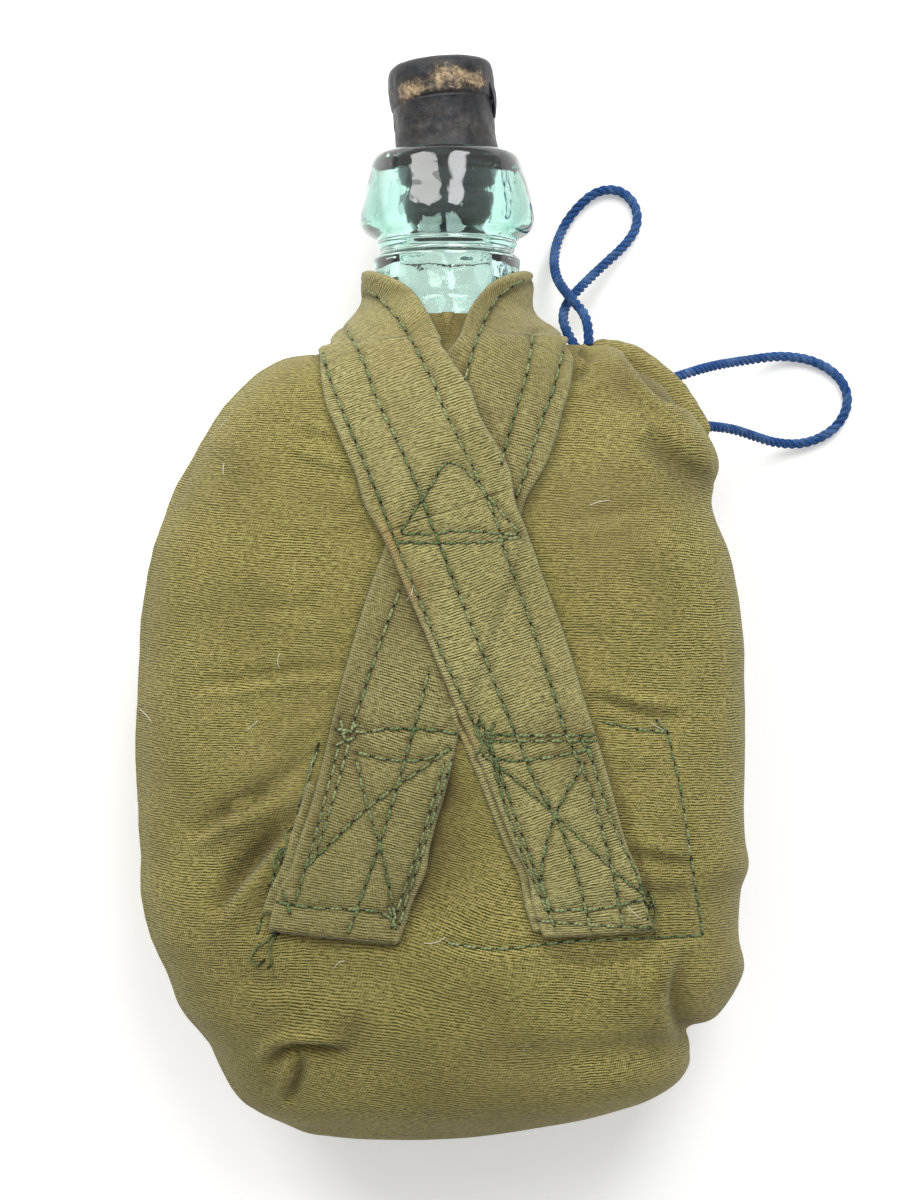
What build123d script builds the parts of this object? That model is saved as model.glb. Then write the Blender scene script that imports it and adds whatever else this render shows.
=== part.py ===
from build123d import *
import math
import os

# A glass field canteen in a cloth cover, lying on its back. Millimetres.
# +Y runs up the flask's neck, +Z is up and out of the side with the crossed straps,
# and the origin lies on the resting face, under the neck's axis.

# ---- driving dimensions ----
MIDDLE = 35.0            # height of the flask's middle plane over its resting face
GLASS_WALL = 3.3
BASE_THICKNESS = 4.3
NECK_RADIUS = 16.5
NECK_START = 103.0       # the body's oval ends inside the round neck from here up
BORE_RADIUS = 10.6
BORE_START = 86.0        # where the bore opens into the body
BORE_OVERLAP = 4.0       # how far the body's cavity runs up round the bore
FLARE_START = 127.0
FLARE_RADIUS = 11.95
LIP_TOP = 133.0
PLUG_BOTTOM = 119.0
PLUG_CLEARANCE = 0.08
PLUG_CHAMFER = 1.0       # at the plug's lower end, which is twice as long as it is deep
PLUG_CORE_TOP = 139.0    # the plug's own middle runs up inside the leaning head to here
STOPPER_HEAD_START = 134.3
STOPPER_RADIUS = 11.6
STOPPER_BAND_RADIUS = 11.9
STOPPER_BAND_START = 144.3
STOPPER_TOP = 153.0
STOPPER_DOME = 1.0
STOPPER_EDGE = 1.2       # chamfer round the stopper's top
STOPPER_LEAN = 4.6       # degrees that the free end of the stopper leans towards -X

CLOTH = 1.2              # the lined cover cloth
PATCH = 0.8              # reinforcing patch behind the strap ends
STRAP = 1.4              # two plies of folded twill
THREAD = 0.35            # how far a row of stitches stands up
THREAD_WIDTH = 0.7
GAP = 0.05               # air between a thread row and its cloth
SLACK = 0.25             # air between the cover and a strap that lies on it
BAG_BOTTOM = -88.8       # inside of the cover's closed lower end
MOUTH = 94.0             # where the cover's neck edge ends
STRAP_TOP = 106.0        # upper edge of the strap round the neck

CASING_RADIUS = 2.8      # the rolled hem that the drawstring runs in
CASING_BORE = 1.3
CASING_HEIGHT = 33.0
CORD_DIAMETER = 2.3

RING_POINTS = 24         # points on each cross-section of the flask and the cover
FLASK_BASE = -81.0       # the flask's flat foot
NECK_RINGS_START = 90.0  # the cover's rings above this place stand beside the neck
WIDE = 400.0             # side of a cutting block that reaches past the whole canteen
ABOVE_ALL = 110.0        # height over everything, where the columns over an outline end
BELOW_ALL = -20.0

# Flask: place along the neck axis, half width, half depth, roundness.
FLASK_RINGS = [
    (FLASK_BASE, 36.0, 15.0, 2.0),
    (-78.0, 43.0, 21.0, 2.1),
    (-70.0, 50.5, 26.3, 2.2),
    (-52.0, 60.0, 30.8, 2.25),
    (-25.0, 64.6, 32.8, 2.25),
    (5.0, 65.2, 33.1, 2.25),
    (35.0, 62.6, 32.2, 2.25),
    (56.0, 55.0, 29.8, 2.2),
    (70.0, 47.8, 26.8, 2.15),
    (80.0, 39.5, 23.5, 2.1),
    (87.0, 29.6, 20.2, 2.05),
    (92.0, 21.8, 17.8, 2.0),
    (96.5, 17.2, 16.6, 2.0),
    (101.0, 16.1, 16.1, 2.0),
    (106.0, 16.1, 16.1, 2.0),
]

# Cover: place, half width on -X, half width on +X, half depth at the front and at the
# back, roundness. Above the mouth the rings carry on up the neck, for the straps.
COVER_RINGS = [
    (-90.0, 27.0, 20.0, 11.0, 11.0, 2.0),
    (-88.0, 36.0, 30.0, 17.5, 17.5, 2.1),
    (-83.0, 45.0, 45.0, 24.5, 24.5, 2.2),
    (-74.0, 52.0, 54.5, 29.2, 29.2, 2.25),
    (-62.0, 59.0, 61.0, 32.6, 32.8, 2.25),
    (-48.0, 65.8, 66.6, 34.6, 34.9, 2.25),
    (-30.0, 69.1, 67.2, 35.5, 35.9, 2.25),
    (-5.0, 70.2, 67.6, 35.7, 36.0, 2.25),
    (25.0, 69.3, 67.1, 35.5, 35.8, 2.25),
    (50.0, 63.9, 63.0, 34.6, 34.6, 2.25),
    (70.0, 53.7, 58.5, 31.8, 31.2, 2.2),
    (80.0, 45.3, 51.8, 28.6, 27.6, 2.15),
    (87.0, 34.0, 43.5, 24.6, 23.6, 2.1),
    (91.0, 26.6, 33.0, 21.8, 21.4, 2.05),
    (94.0, 21.0, 23.5, 19.5, 19.4, 2.0),
    (97.0, 18.2, 19.0, 17.9, 17.9, 2.0),
    (101.0, 17.1, 17.2, 17.1, 17.1, 2.0),
    (107.0, 17.1, 17.1, 17.1, 17.1, 2.0),
]

# Growth of each layer over the cover's outer surface.
UNDER_INNER = SLACK
UNDER_OUTER = UNDER_INNER + STRAP
OVER_INNER = UNDER_OUTER + THREAD + 3 * GAP
OVER_OUTER = OVER_INNER + STRAP
OVER_NECK_LIFT = 0.4     # how far the over strap stands proud of the band at the neck
SIDE_LAP = 2.0           # how far the over strap runs on behind the middle plane

# Strap edges in plan. The under strap comes down from +X to -X, the over strap from
# -X to +X, and each one is sewn down at its lower end.
UNDER_LEFT = [
    (17.0, STRAP_TOP), (8.6, 101.8), (0.5, 85.7), (-11.1, 51.0),
    (-19.4, 24.8), (-28.5, -10.6), (-38.4, -38.2),
]
UNDER_RIGHT = [
    (-10.3, -41.4), (-4.5, -24.9), (2.0, 4.1), (9.2, 27.5),
    (16.7, 49.7), (24.3, 72.3), (26.0, 86.7),
]
UNDER_SHOULDER = [(33.0, 93.0), (26.0, STRAP_TOP)]
OVER_LEFT = [(-29.0, 86.1), (-24.8, 71.2), (-20.4, 60.6), (-14.0, 46.0)]
OVER_RIGHT = [(13.9, 55.6), (4.1, 76.8), (-3.2, 92.0), (-10.1, 102.0), (-14.0, STRAP_TOP)]
OVER_SHOULDER = [(-26.0, STRAP_TOP), (-33.0, 93.0)]
SPLICE_RIGHT = (17.4, 45.6)
EXTENSION_LEFT = [(-13.4, 45.2), (-7.4, 31.2), (5.4, 0.7), (12.4, -16.2), (19.6, -38.7)]
EXTENSION_RIGHT = [(44.4, -37.0), (41.5, -27.6), (34.3, -5.7), (27.3, 17.1), (17.2, 45.2)]
FOLDED_END = 2.0         # below this place the extension is folded double
NECK_BAND = [
    (-29.0, 87.0), (-20.0, 82.5), (20.0, 82.5), (28.0, 87.0), (26.0, STRAP_TOP), (-26.0, STRAP_TOP),
]

PATCH_OUTLINE = [(-27.2, 2.4), (47.4, 3.5), (54.9, -40.0), (-40.7, -40.0)]

# Rows of stitches in plan, by the piece of cloth that they lie on.
UNDER_ROWS = [
    [(18.0, 102.5), (7.6, 92.0), (3.4, 80.0)],
    [(20.5, 90.0), (19.0, 76.0), (12.5, 62.0)],
    [(25.2, 86.0), (22.6, 72.5), (15.6, 50.5)],
    [(-17.6, 33.5), (-23.4, 6.2)],
    [(-10.2, 26.0), (-14.9, 6.2)],
]
OVER_ROWS = [
    [(-22.8, 71.0), (-19.6, 64.0), (-12.6, 47.5)],
    [(-13.3, 71.0), (-8.2, 60.0), (-3.2, 49.0)],
    [(1.2, 70.0), (6.0, 62.0), (11.6, 50.0)],
]
EXTENSION_ROWS = [
    [(-11.0, 43.0), (4.6, 6.0)],
    [(-3.4, 43.0), (13.6, 5.0)],
    [(12.0, 43.0), (27.6, 5.0)],
]
SPLICE_ROWS = [
    [(-9.7, 45.9), (0.5, 60.7), (12.6, 46.6)],
    [(-10.8, 44.1), (15.8, 44.1)],
]
LEFT_BOX_ROWS = [
    [(-24.4, 3.9), (1.0, 3.4)],
    [(-22.6, -1.2), (0.2, -0.8)],
    [(-22.4, -2.2), (-10.6, -37.0)],
    [(-1.0, -2.2), (-31.6, -27.4)],
    [(-25.2, -2.0), (-35.6, -33.0)],
    [(-0.4, -3.0), (-10.4, -36.6)],
    [(-36.0, -35.8), (-11.4, -37.6)],
]
RIGHT_BOX_ROWS = [
    [(7.0, 2.6), (32.2, 0.6)],
    [(8.4, -2.6), (31.0, -2.4)],
    [(11.4, -4.4), (42.0, -30.0)],
    [(29.6, -4.4), (20.2, -31.8)],
    [(8.6, -5.0), (20.4, -34.4)],
    [(30.8, -4.6), (40.4, -33.6)],
    [(20.8, -36.2), (42.4, -35.0)],
]
PATCH_ROWS = [
    [(35.6, 5.2), (47.4, 3.5), (54.9, -40.0), (45.6, -41.6), (14.0, -43.6), (-0.8, -42.6)],
    [(-28.0, 1.6), (-36.8, -28.0), (-40.7, -40.0)],
]

# Drawstring: where the casing runs, and the two free loops that lie out from it.
CASING_ARC = [(33.0, 89.6, CASING_HEIGHT), (49.5, 81.6, CASING_HEIGHT), (58.3, 67.5, CASING_HEIGHT)]
TOP_LOOP = [
    (27.6, 90.6, 32.0), (26.4, 95.2, 28.6), (27.8, 100.6, 21.6), (32.2, 106.2, 14.0),
    (37.6, 111.8, 7.4), (42.8, 116.8, 3.0), (45.9, 121.8, 1.3), (45.2, 127.0, 1.3),
    (41.4, 130.4, 1.3), (36.2, 130.2, 1.3), (31.4, 126.4, 1.3), (27.4, 120.6, 2.4),
    (25.2, 113.6, 8.6), (25.4, 107.0, 17.6), (28.2, 101.0, 27.0), (31.6, 95.6, 33.0),
    (35.0, 90.8, 34.4),
]
SIDE_LOOP = [
    (52.0, 82.6, 32.0), (58.2, 85.2, 24.4), (65.0, 87.3, 15.0), (72.4, 89.0, 6.8),
    (80.2, 90.5, 1.6), (88.3, 89.4, 1.3), (94.7, 85.2, 1.3), (96.7, 79.0, 1.3),
    (93.3, 72.7, 1.3), (86.6, 69.3, 1.3), (79.1, 69.1, 3.6), (72.2, 70.6, 11.6),
    (65.4, 72.0, 20.4), (59.0, 71.8, 28.6),
]


# ---- shared shapes ----
def signed_power(value, exponent):
    return math.copysign(abs(value) ** exponent, value)


def closed_face(*curves):
    """The face inside several curves that meet end to end."""
    edges = []
    for curve in curves:
        edges += curve.edges()
    return make_face(edges)


def ring(place, left, right, front, back, power):
    """A closed oval across the flask, made of four quarter superellipses."""
    points = []
    for step in range(RING_POINTS):
        turn = 2 * math.pi * step / RING_POINTS
        across = signed_power(math.cos(turn), 2 / power)
        height = signed_power(math.sin(turn), 2 / power)
        half_width = right if across > 0 else left
        half_depth = front if height > 0 else back
        points.append((across * half_width, place, MIDDLE + height * half_depth))
    return make_face(Spline(*points, periodic=True))


def flask_body(inset):
    """The flask's oval body, shrunk by inset on every side."""
    rings = []
    for place, half_width, half_depth, power in FLASK_RINGS:
        width = half_width - inset
        depth = half_depth - inset
        rings.append(ring(place, width, width, depth, depth, power))
    return loft(rings)


def cover_body(growth, neck_growth=None):
    """The cover's outer form grown by one amount, or by another beside the neck."""
    rings = []
    for place, left, right, front, back, power in COVER_RINGS:
        extra = growth
        if neck_growth is not None and place > NECK_RINGS_START:
            extra = neck_growth
        rings.append(ring(place, left + extra, right + extra, front + extra, back + extra, power))
    return loft(rings)


def block(lowest_y=-WIDE, highest_y=WIDE, lowest_z=-WIDE, highest_z=WIDE):
    """A block as wide as needed, between two places along the neck and two heights."""
    middle = Pos(0, (lowest_y + highest_y) / 2, (lowest_z + highest_z) / 2)
    return middle * Box(WIDE, highest_y - lowest_y, highest_z - lowest_z)


def prism(outline, low=BELOW_ALL, high=ABOVE_ALL):
    """A column over a closed outline in plan."""
    face = make_face(Polyline(*outline, close=True))
    return extrude(Pos(0, 0, low) * face, amount=high - low)


def strap_column(left_edge, right_edge, corners, low):
    """A column over a strap: two smooth edges, with straight ends and corners."""
    right_side = Spline(*right_edge)
    left_side = Spline(*left_edge)
    head = Polyline(right_edge[-1], *corners, left_edge[0])
    foot = Line(left_edge[-1], right_edge[0])
    face = closed_face(left_side, foot, right_side, head)
    return extrude(Pos(0, 0, low) * face, amount=ABOVE_ALL - low)


def row_column(rows):
    """A column over rows of stitches, each row a chain of thin straight strips."""
    strips = Sketch()
    for row in rows:
        for start, end in zip(row, row[1:]):
            run_x = end[0] - start[0]
            run_y = end[1] - start[1]
            angle = math.degrees(math.atan2(run_y, run_x))
            place = Pos((start[0] + end[0]) / 2, (start[1] + end[1]) / 2, MIDDLE)
            length = math.hypot(run_x, run_y) + THREAD_WIDTH
            strips += place * Rot(0, 0, angle) * Rectangle(length, THREAD_WIDTH)
    return extrude(strips, amount=ABOVE_ALL - MIDDLE)


def corner_radius(before, corner, after):
    """0.45 of the shorter run over the tangent of half the turn."""
    run_in = Vector(*corner) - Vector(*before)
    run_out = Vector(*after) - Vector(*corner)
    half_turn = math.radians(run_in.get_angle(run_out)) / 2
    return 0.45 * min(run_in.length, run_out.length) / math.tan(half_turn)


def cord_tube(name, route):
    """A round tube along straight runs joined by tangent arcs."""
    radii = [corner_radius(*route[i - 1:i + 2]) for i in range(1, len(route) - 1)]
    path = FilletPolyline(*route, radius=radii)
    start = Plane(origin=path @ 0, z_dir=path % 0)
    tube = sweep(start * Circle(CORD_DIAMETER / 2), path=path)
    section = math.pi * CORD_DIAMETER ** 2 / 4
    print(name, "length", round(path.length, 1), "radii", [round(radius, 1) for radius in radii])
    print(name, "volume", round(tube.volume, 1), "section x length", round(section * path.length, 1))
    return tube


def casing_tube(radius):
    """A round bar along the arc of the drawstring casing."""
    path = ThreePointArc(*CASING_ARC)
    return sweep(Plane(origin=path @ 0, z_dir=path % 0) * Circle(radius), path=path)


# ---- pieces ----
def glass_flask():
    """Blown flask: oval body, round neck with a flange under the lip, and a bored mouth."""
    flange = Spline((NECK_RADIUS, 108.0), (15.8, 111.8), (17.5, 114.7), (19.3, 117.0),
                    (19.6, 120.0), (18.8, 125.0), (17.4, 128.9), (15.6, 131.4), (12.9, LIP_TOP))
    outline = Polyline((12.9, LIP_TOP), (0, LIP_TOP), (0, NECK_START),
                       (NECK_RADIUS, NECK_START), (NECK_RADIUS, 108.0))
    bore_outline = Polyline((0, BORE_START), (BORE_RADIUS, BORE_START), (BORE_RADIUS, FLARE_START),
                            (FLARE_RADIUS, LIP_TOP), (FLARE_RADIUS, LIP_TOP + 1),
                            (0, LIP_TOP + 1), close=True)
    neck = revolve(closed_face(flange, outline), axis=Axis.Y)
    bore = revolve(make_face(bore_outline), axis=Axis.Y)
    cavity_limit = block(lowest_y=FLASK_BASE + BASE_THICKNESS, highest_y=BORE_START + BORE_OVERLAP)
    cavity = flask_body(GLASS_WALL) & cavity_limit
    return flask_body(0) + Pos(0, 0, MIDDLE) * neck - cavity - Pos(0, 0, MIDDLE) * bore


def rubber_stopper():
    """Rubber plug pushed into the bore, its free end leaning and a little domed."""
    plug_radius = BORE_RADIUS - PLUG_CLEARANCE
    core_radius = STOPPER_RADIUS - 1.0
    plug_outline = Polyline(
        (0, PLUG_BOTTOM), (plug_radius - PLUG_CHAMFER, PLUG_BOTTOM),
        (plug_radius, PLUG_BOTTOM + 2 * PLUG_CHAMFER), (plug_radius, FLARE_START),
        (FLARE_RADIUS - PLUG_CLEARANCE, LIP_TOP), (core_radius, LIP_TOP + 1.0),
        (core_radius, PLUG_CORE_TOP), (0, PLUG_CORE_TOP), close=True)
    side = Polyline(
        (0, STOPPER_HEAD_START), (STOPPER_RADIUS, STOPPER_HEAD_START), (STOPPER_RADIUS, STOPPER_BAND_START),
        (STOPPER_BAND_RADIUS, STOPPER_BAND_START + 0.5), (STOPPER_BAND_RADIUS, STOPPER_TOP - STOPPER_EDGE),
        (STOPPER_BAND_RADIUS - STOPPER_EDGE, STOPPER_TOP), (0, STOPPER_TOP + STOPPER_DOME), close=True)
    head = revolve(make_face(side), axis=Axis.Y)
    lean = Pos(0, LIP_TOP, 0) * Rot(0, 0, STOPPER_LEAN) * Pos(0, -LIP_TOP, 0)
    plug = revolve(make_face(plug_outline), axis=Axis.Y)
    return Pos(0, 0, MIDDLE) * (plug + lean * head)


def cover_shell():
    """The cover's cloth all round, open at the mouth and flat where it rests."""
    whole = block(highest_y=MOUTH, lowest_z=0)
    inside = block(lowest_y=BAG_BOTTOM, lowest_z=CLOTH)
    cavity = cover_body(-CLOTH) & inside
    return (cover_body(0) & whole) - cavity - casing_tube(CASING_RADIUS)


def inside_patch():
    """Reinforcing patch inside the front panel, behind the sewn strap ends."""
    skin = cover_body(-CLOTH - 0.1) - cover_body(-CLOTH - 0.1 - PATCH)
    return skin & prism(PATCH_OUTLINE, low=MIDDLE)


def neck_strap():
    """One long strap: up from the lower left end, behind the neck and down to the splice."""
    front = strap_column(UNDER_LEFT, UNDER_RIGHT, UNDER_SHOULDER, MIDDLE)
    behind = prism(NECK_BAND, high=MIDDLE)
    lower_layer = (cover_body(UNDER_OUTER) - cover_body(UNDER_INNER)) & (front + behind)
    over_skin = cover_body(OVER_OUTER, UNDER_OUTER + OVER_NECK_LIFT)
    over_skin -= cover_body(OVER_INNER, UNDER_INNER + OVER_NECK_LIFT)
    over_edge = OVER_SHOULDER + OVER_LEFT
    over_front = prism(OVER_RIGHT + over_edge + [SPLICE_RIGHT], low=MIDDLE - SIDE_LAP)
    return lower_layer + (over_skin & over_front)


def strap_extension():
    """Strap from the splice to the lower right end, folded double where it is sewn down."""
    column = strap_column(EXTENSION_LEFT, EXTENSION_RIGHT, [], MIDDLE)
    free_part = block(lowest_y=FOLDED_END)
    outer = cover_body(OVER_OUTER) & column
    return outer - cover_body(UNDER_INNER) - (cover_body(OVER_INNER) & free_part)


def stitches(rows, growth, neck_growth=None):
    """Rows of thread that stand on a cloth surface grown by the given amounts."""
    if neck_growth is None:
        neck_growth = growth
    skin = cover_body(growth + GAP + THREAD, neck_growth + GAP + THREAD)
    skin -= cover_body(growth + GAP, neck_growth + GAP)
    return skin & row_column(rows)


def mouth_casing():
    return casing_tube(CASING_RADIUS) - casing_tube(CASING_BORE)


def write(name, shape):
    solids = shape.solids()
    print(name, len(solids), "solid(s)", round(sum(solid.volume for solid in solids)), "mm3")
    export_step(shape, os.path.join("parts", name + ".step"))


os.makedirs("parts", exist_ok=True)
shell = cover_shell()

write("glass_flask", glass_flask())
write("rubber_stopper", rubber_stopper())
write("front_panel", shell & block(lowest_z=MIDDLE))
write("back_panel", shell & block(highest_z=MIDDLE))
write("inside_patch", inside_patch())
write("neck_strap", neck_strap())
write("strap_extension", strap_extension())
write("mouth_casing", mouth_casing())
write("drawstring_inner", casing_tube(CORD_DIAMETER / 2))
write("drawstring_top_loop", cord_tube("top loop", TOP_LOOP))
write("drawstring_side_loop", cord_tube("side loop", SIDE_LOOP))
write("under_strap_stitching", stitches(UNDER_ROWS, UNDER_OUTER))
write("over_strap_stitching", stitches(OVER_ROWS, OVER_OUTER, UNDER_OUTER + OVER_NECK_LIFT))
write("extension_stitching", stitches(EXTENSION_ROWS, OVER_OUTER))
write("splice_stitching", stitches(SPLICE_ROWS, OVER_OUTER + THREAD + GAP))
write("left_box_stitching", stitches(LEFT_BOX_ROWS, UNDER_OUTER))
write("right_box_stitching", stitches(RIGHT_BOX_ROWS, OVER_OUTER))
write("patch_stitching", stitches(PATCH_ROWS, 0))
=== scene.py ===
"""Looks of the glass canteen in its cloth cover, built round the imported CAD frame.

Shapes are worked out in millimetres in the CAD's own frame: +Y up the neck, +Z out of the
side with the crossed straps, MIDDLE the height of the flask's middle plane.
"""
import math
import random

import bmesh
import bpy
import numpy as np
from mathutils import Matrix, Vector, noise
from mathutils.bvhtree import BVHTree


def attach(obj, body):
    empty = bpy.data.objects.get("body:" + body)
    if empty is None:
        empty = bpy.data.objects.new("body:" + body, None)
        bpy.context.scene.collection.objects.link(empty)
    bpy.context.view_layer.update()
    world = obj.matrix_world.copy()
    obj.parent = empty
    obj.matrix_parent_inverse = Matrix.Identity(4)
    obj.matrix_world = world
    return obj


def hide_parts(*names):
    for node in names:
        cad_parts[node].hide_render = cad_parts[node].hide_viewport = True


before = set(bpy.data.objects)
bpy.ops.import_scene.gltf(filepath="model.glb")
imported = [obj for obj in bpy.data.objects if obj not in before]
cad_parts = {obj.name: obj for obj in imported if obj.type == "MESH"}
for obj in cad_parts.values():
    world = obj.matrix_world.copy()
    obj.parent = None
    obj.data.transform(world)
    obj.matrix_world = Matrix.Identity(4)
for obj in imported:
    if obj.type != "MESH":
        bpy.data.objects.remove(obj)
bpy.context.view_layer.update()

MM = 0.001
CANTEEN = "canteen"
STOPPER = "stopper"
MIDDLE = 35.0
RIB_PITCH = 0.58         # twill ribs of the cloth
FLOAT_LENGTH = 0.62      # how long a rib's floats run before they break
STITCH_PITCH = 3.6
THREAD_RADIUS = 0.30
STRAP = 1.5              # thickness of a folded strap
CLOTH = 1.0              # thickness of a panel
STOPPER_LEAN = 4.6       # degrees towards -X
LIP_TOP = 133.0
CAMERA_PLACE = (0.00068, 0.0318, 0.635)     # metres, straight above the canteen
CAMERA_LENS = 79.19
FLOOR_LEVEL = -0.0004    # metres, a little under the canteen
FLOOR_REACH = 3.0
PANEL_ROWS = 301
PANEL_COLUMNS = 241
LINING_STEP = 3          # the inside of a panel has every third of its outside's points
STRAP_COLUMNS = 44
STRAP_ROW_SPACING = 0.85
STITCH_POINTS = 7
REVOLVED_POINTS = 120    # points round the flask and the stopper
MERGE_DISTANCE = 0.004
RAY_START = 200.0        # height that rays are cast down from
FLAP_LEAN = 0.0803       # sideways lean of the torn flap, as a slope
GLASS_WALL = 3.3
INNER_BASE = -77.0       # where the flask's inside starts
BUBBLE_COUNT = 26
CHAIN_STEP = 0.25        # spacing of the points that a row of stitches is laid out along
CASING_STEP = 0.5

# ---- the cover's outer surface ----
# Rows across the cover, from the neck down: left end x, y, right end x, y, depth in front
# of the middle plane, depth behind it, roundness of the section.
ROWS = np.array([
    (-17.1, 110, 17.1, 110, 17.1, 17.1, 2.0),
    (-17.1, 104, 17.1, 104, 17.1, 17.1, 2.0),
    (-17.3, 99.5, 17.3, 99.5, 17.2, 17.2, 2.0),
    (-18.9, 96, 18.2, 96, 18.6, 18.6, 2.0),
    (-21.8, 93, 21.4, 93, 20.6, 20.6, 2.0),
    (-28.8, 87.6, 29.6, 88.8, 23.3, 22.3, 2.05),
    (-36.8, 85.9, 36.9, 88.8, 25.5, 24.5, 2.1),
    (-43.2, 82.3, 41.6, 86.8, 27.5, 26.5, 2.1),
    (-48, 77.9, 46, 83.6, 29.5, 28.5, 2.1),
    (-51.6, 73.4, 50.8, 79.4, 31, 30, 2.15),
    (-54.9, 68, 54.9, 74.2, 32.2, 31.5, 2.15),
    (-57.5, 62.7, 58.4, 68.6, 33, 32.5, 2.2),
    (-60.9, 57, 61.3, 61.8, 33.7, 33.5, 2.2),
    (-63.6, 50.7, 60, 53.4, 34.2, 34.2, 2.25),
    (-66.4, 43.2, 63.9, 43.2, 34.8, 35, 2.25),
    (-68.2, 34.1, 65.7, 35.2, 35.2, 35.4, 2.25),
    (-69.3, 25, 67.1, 22.7, 35.5, 35.6, 2.25),
    (-70.1, 10, 67.3, 11.3, 35.7, 35.6, 2.25),
    (-70.2, 0, 67.5, 0, 35.7, 35.6, 2.25),
    (-69.7, -18, 67.1, -20, 35.6, 35.6, 2.25),
    (-69.1, -25, 68, -28, 35.5, 35.6, 2.25),
    (-68.9, -34, 66.1, -34.1, 35.3, 35.5, 2.25),
    (-67.1, -43.2, 66.1, -44.6, 34.8, 35.2, 2.25),
    (-63.2, -52.3, 67.1, -52.3, 34.1, 34.6, 2.25),
    (-59.7, -60.5, 61.8, -61.4, 32.8, 33.2, 2.25),
    (-53.9, -68, 54.8, -66, 30.8, 31, 2.2),
    (-50.5, -75, 54.8, -74, 28.2, 28.4, 2.2),
    (-46.6, -80.9, 49.3, -79.6, 24.5, 24.5, 2.15),
    (-38.2, -85.5, 37, -84.1, 18, 18, 2.1),
    (-29.1, -89.1, 12.5, -88.7, 10, 10, 2.0),
    (-7, -89.3, -7, -89.3, 0, 0, 2.0),
], float)
MOUTH_ROW = 3.3          # the cover's neck edge, counted in rows
SEAM_LEFT = 172.0        # turn of the left side seam, a little to the front
SEAM_RIGHT = -6.0
FLOOR_SOFTNESS = 1.2     # rounding where the cover starts to rest on the floor

# ---- straps: pairs of points, inner edge then outer edge ----
UNDER_RUNGS = [          # in plan, from the lower left end up to the right shoulder
    ((-38.2, -39.4), (-10.3, -42.0)), ((-36.2, -31.6), (-7.7, -34.2)),
    ((-28.5, -10.6), (-2.7, -17.5)), ((-19.4, 24.8), (6.2, 17.8)),
    ((-11.1, 51.0), (14.8, 43.5)), ((-4.7, 70.0), (21.9, 62.6)),
    ((0.5, 85.7), (26.0, 76.0)), ((4.9, 95.6), (27.3, 83.0)), ((9.6, 102.4), (26.6, 88.2)),
]
NECK_RUNGS = [           # turn round the neck in degrees and place, from right to left behind it
    ((25, 105.6), (3, 90.6)), ((-4, 105.9), (-22, 89.4)), ((-45, 103.6), (-50, 86.0)),
    ((-90, 101.6), (-90, 83.0)), ((-135, 103.6), (-130, 86.0)), ((-176, 106.1), (-158, 89.4)),
    ((-205, 105.6), (-183, 90.4)),
]
OVER_RUNGS = [           # in plan, from the left shoulder down to the lower right end
    ((-9.9, 102.6), (-25.6, 88.8)), ((-6.2, 98.6), (-27.9, 85.6)), ((-2.9, 92.0), (-27.2, 80.8)),
    ((2.6, 80.2), (-24.5, 70.5)), ((8.2, 68.6), (-19.6, 59.0)), ((13.9, 55.6), (-13.8, 45.4)),
    ((20.4, 37.0), (-5.6, 26.8)), ((27.3, 17.1), (2.4, 7.4)), ((34.3, -5.7), (11.6, -14.4)),
    ((41.0, -26.5), (17.9, -31.6)), ((44.8, -40.0), (20.6, -40.6)),
]
SPLICE_RUNG = 5          # the over strap is pieced below this rung

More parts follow.
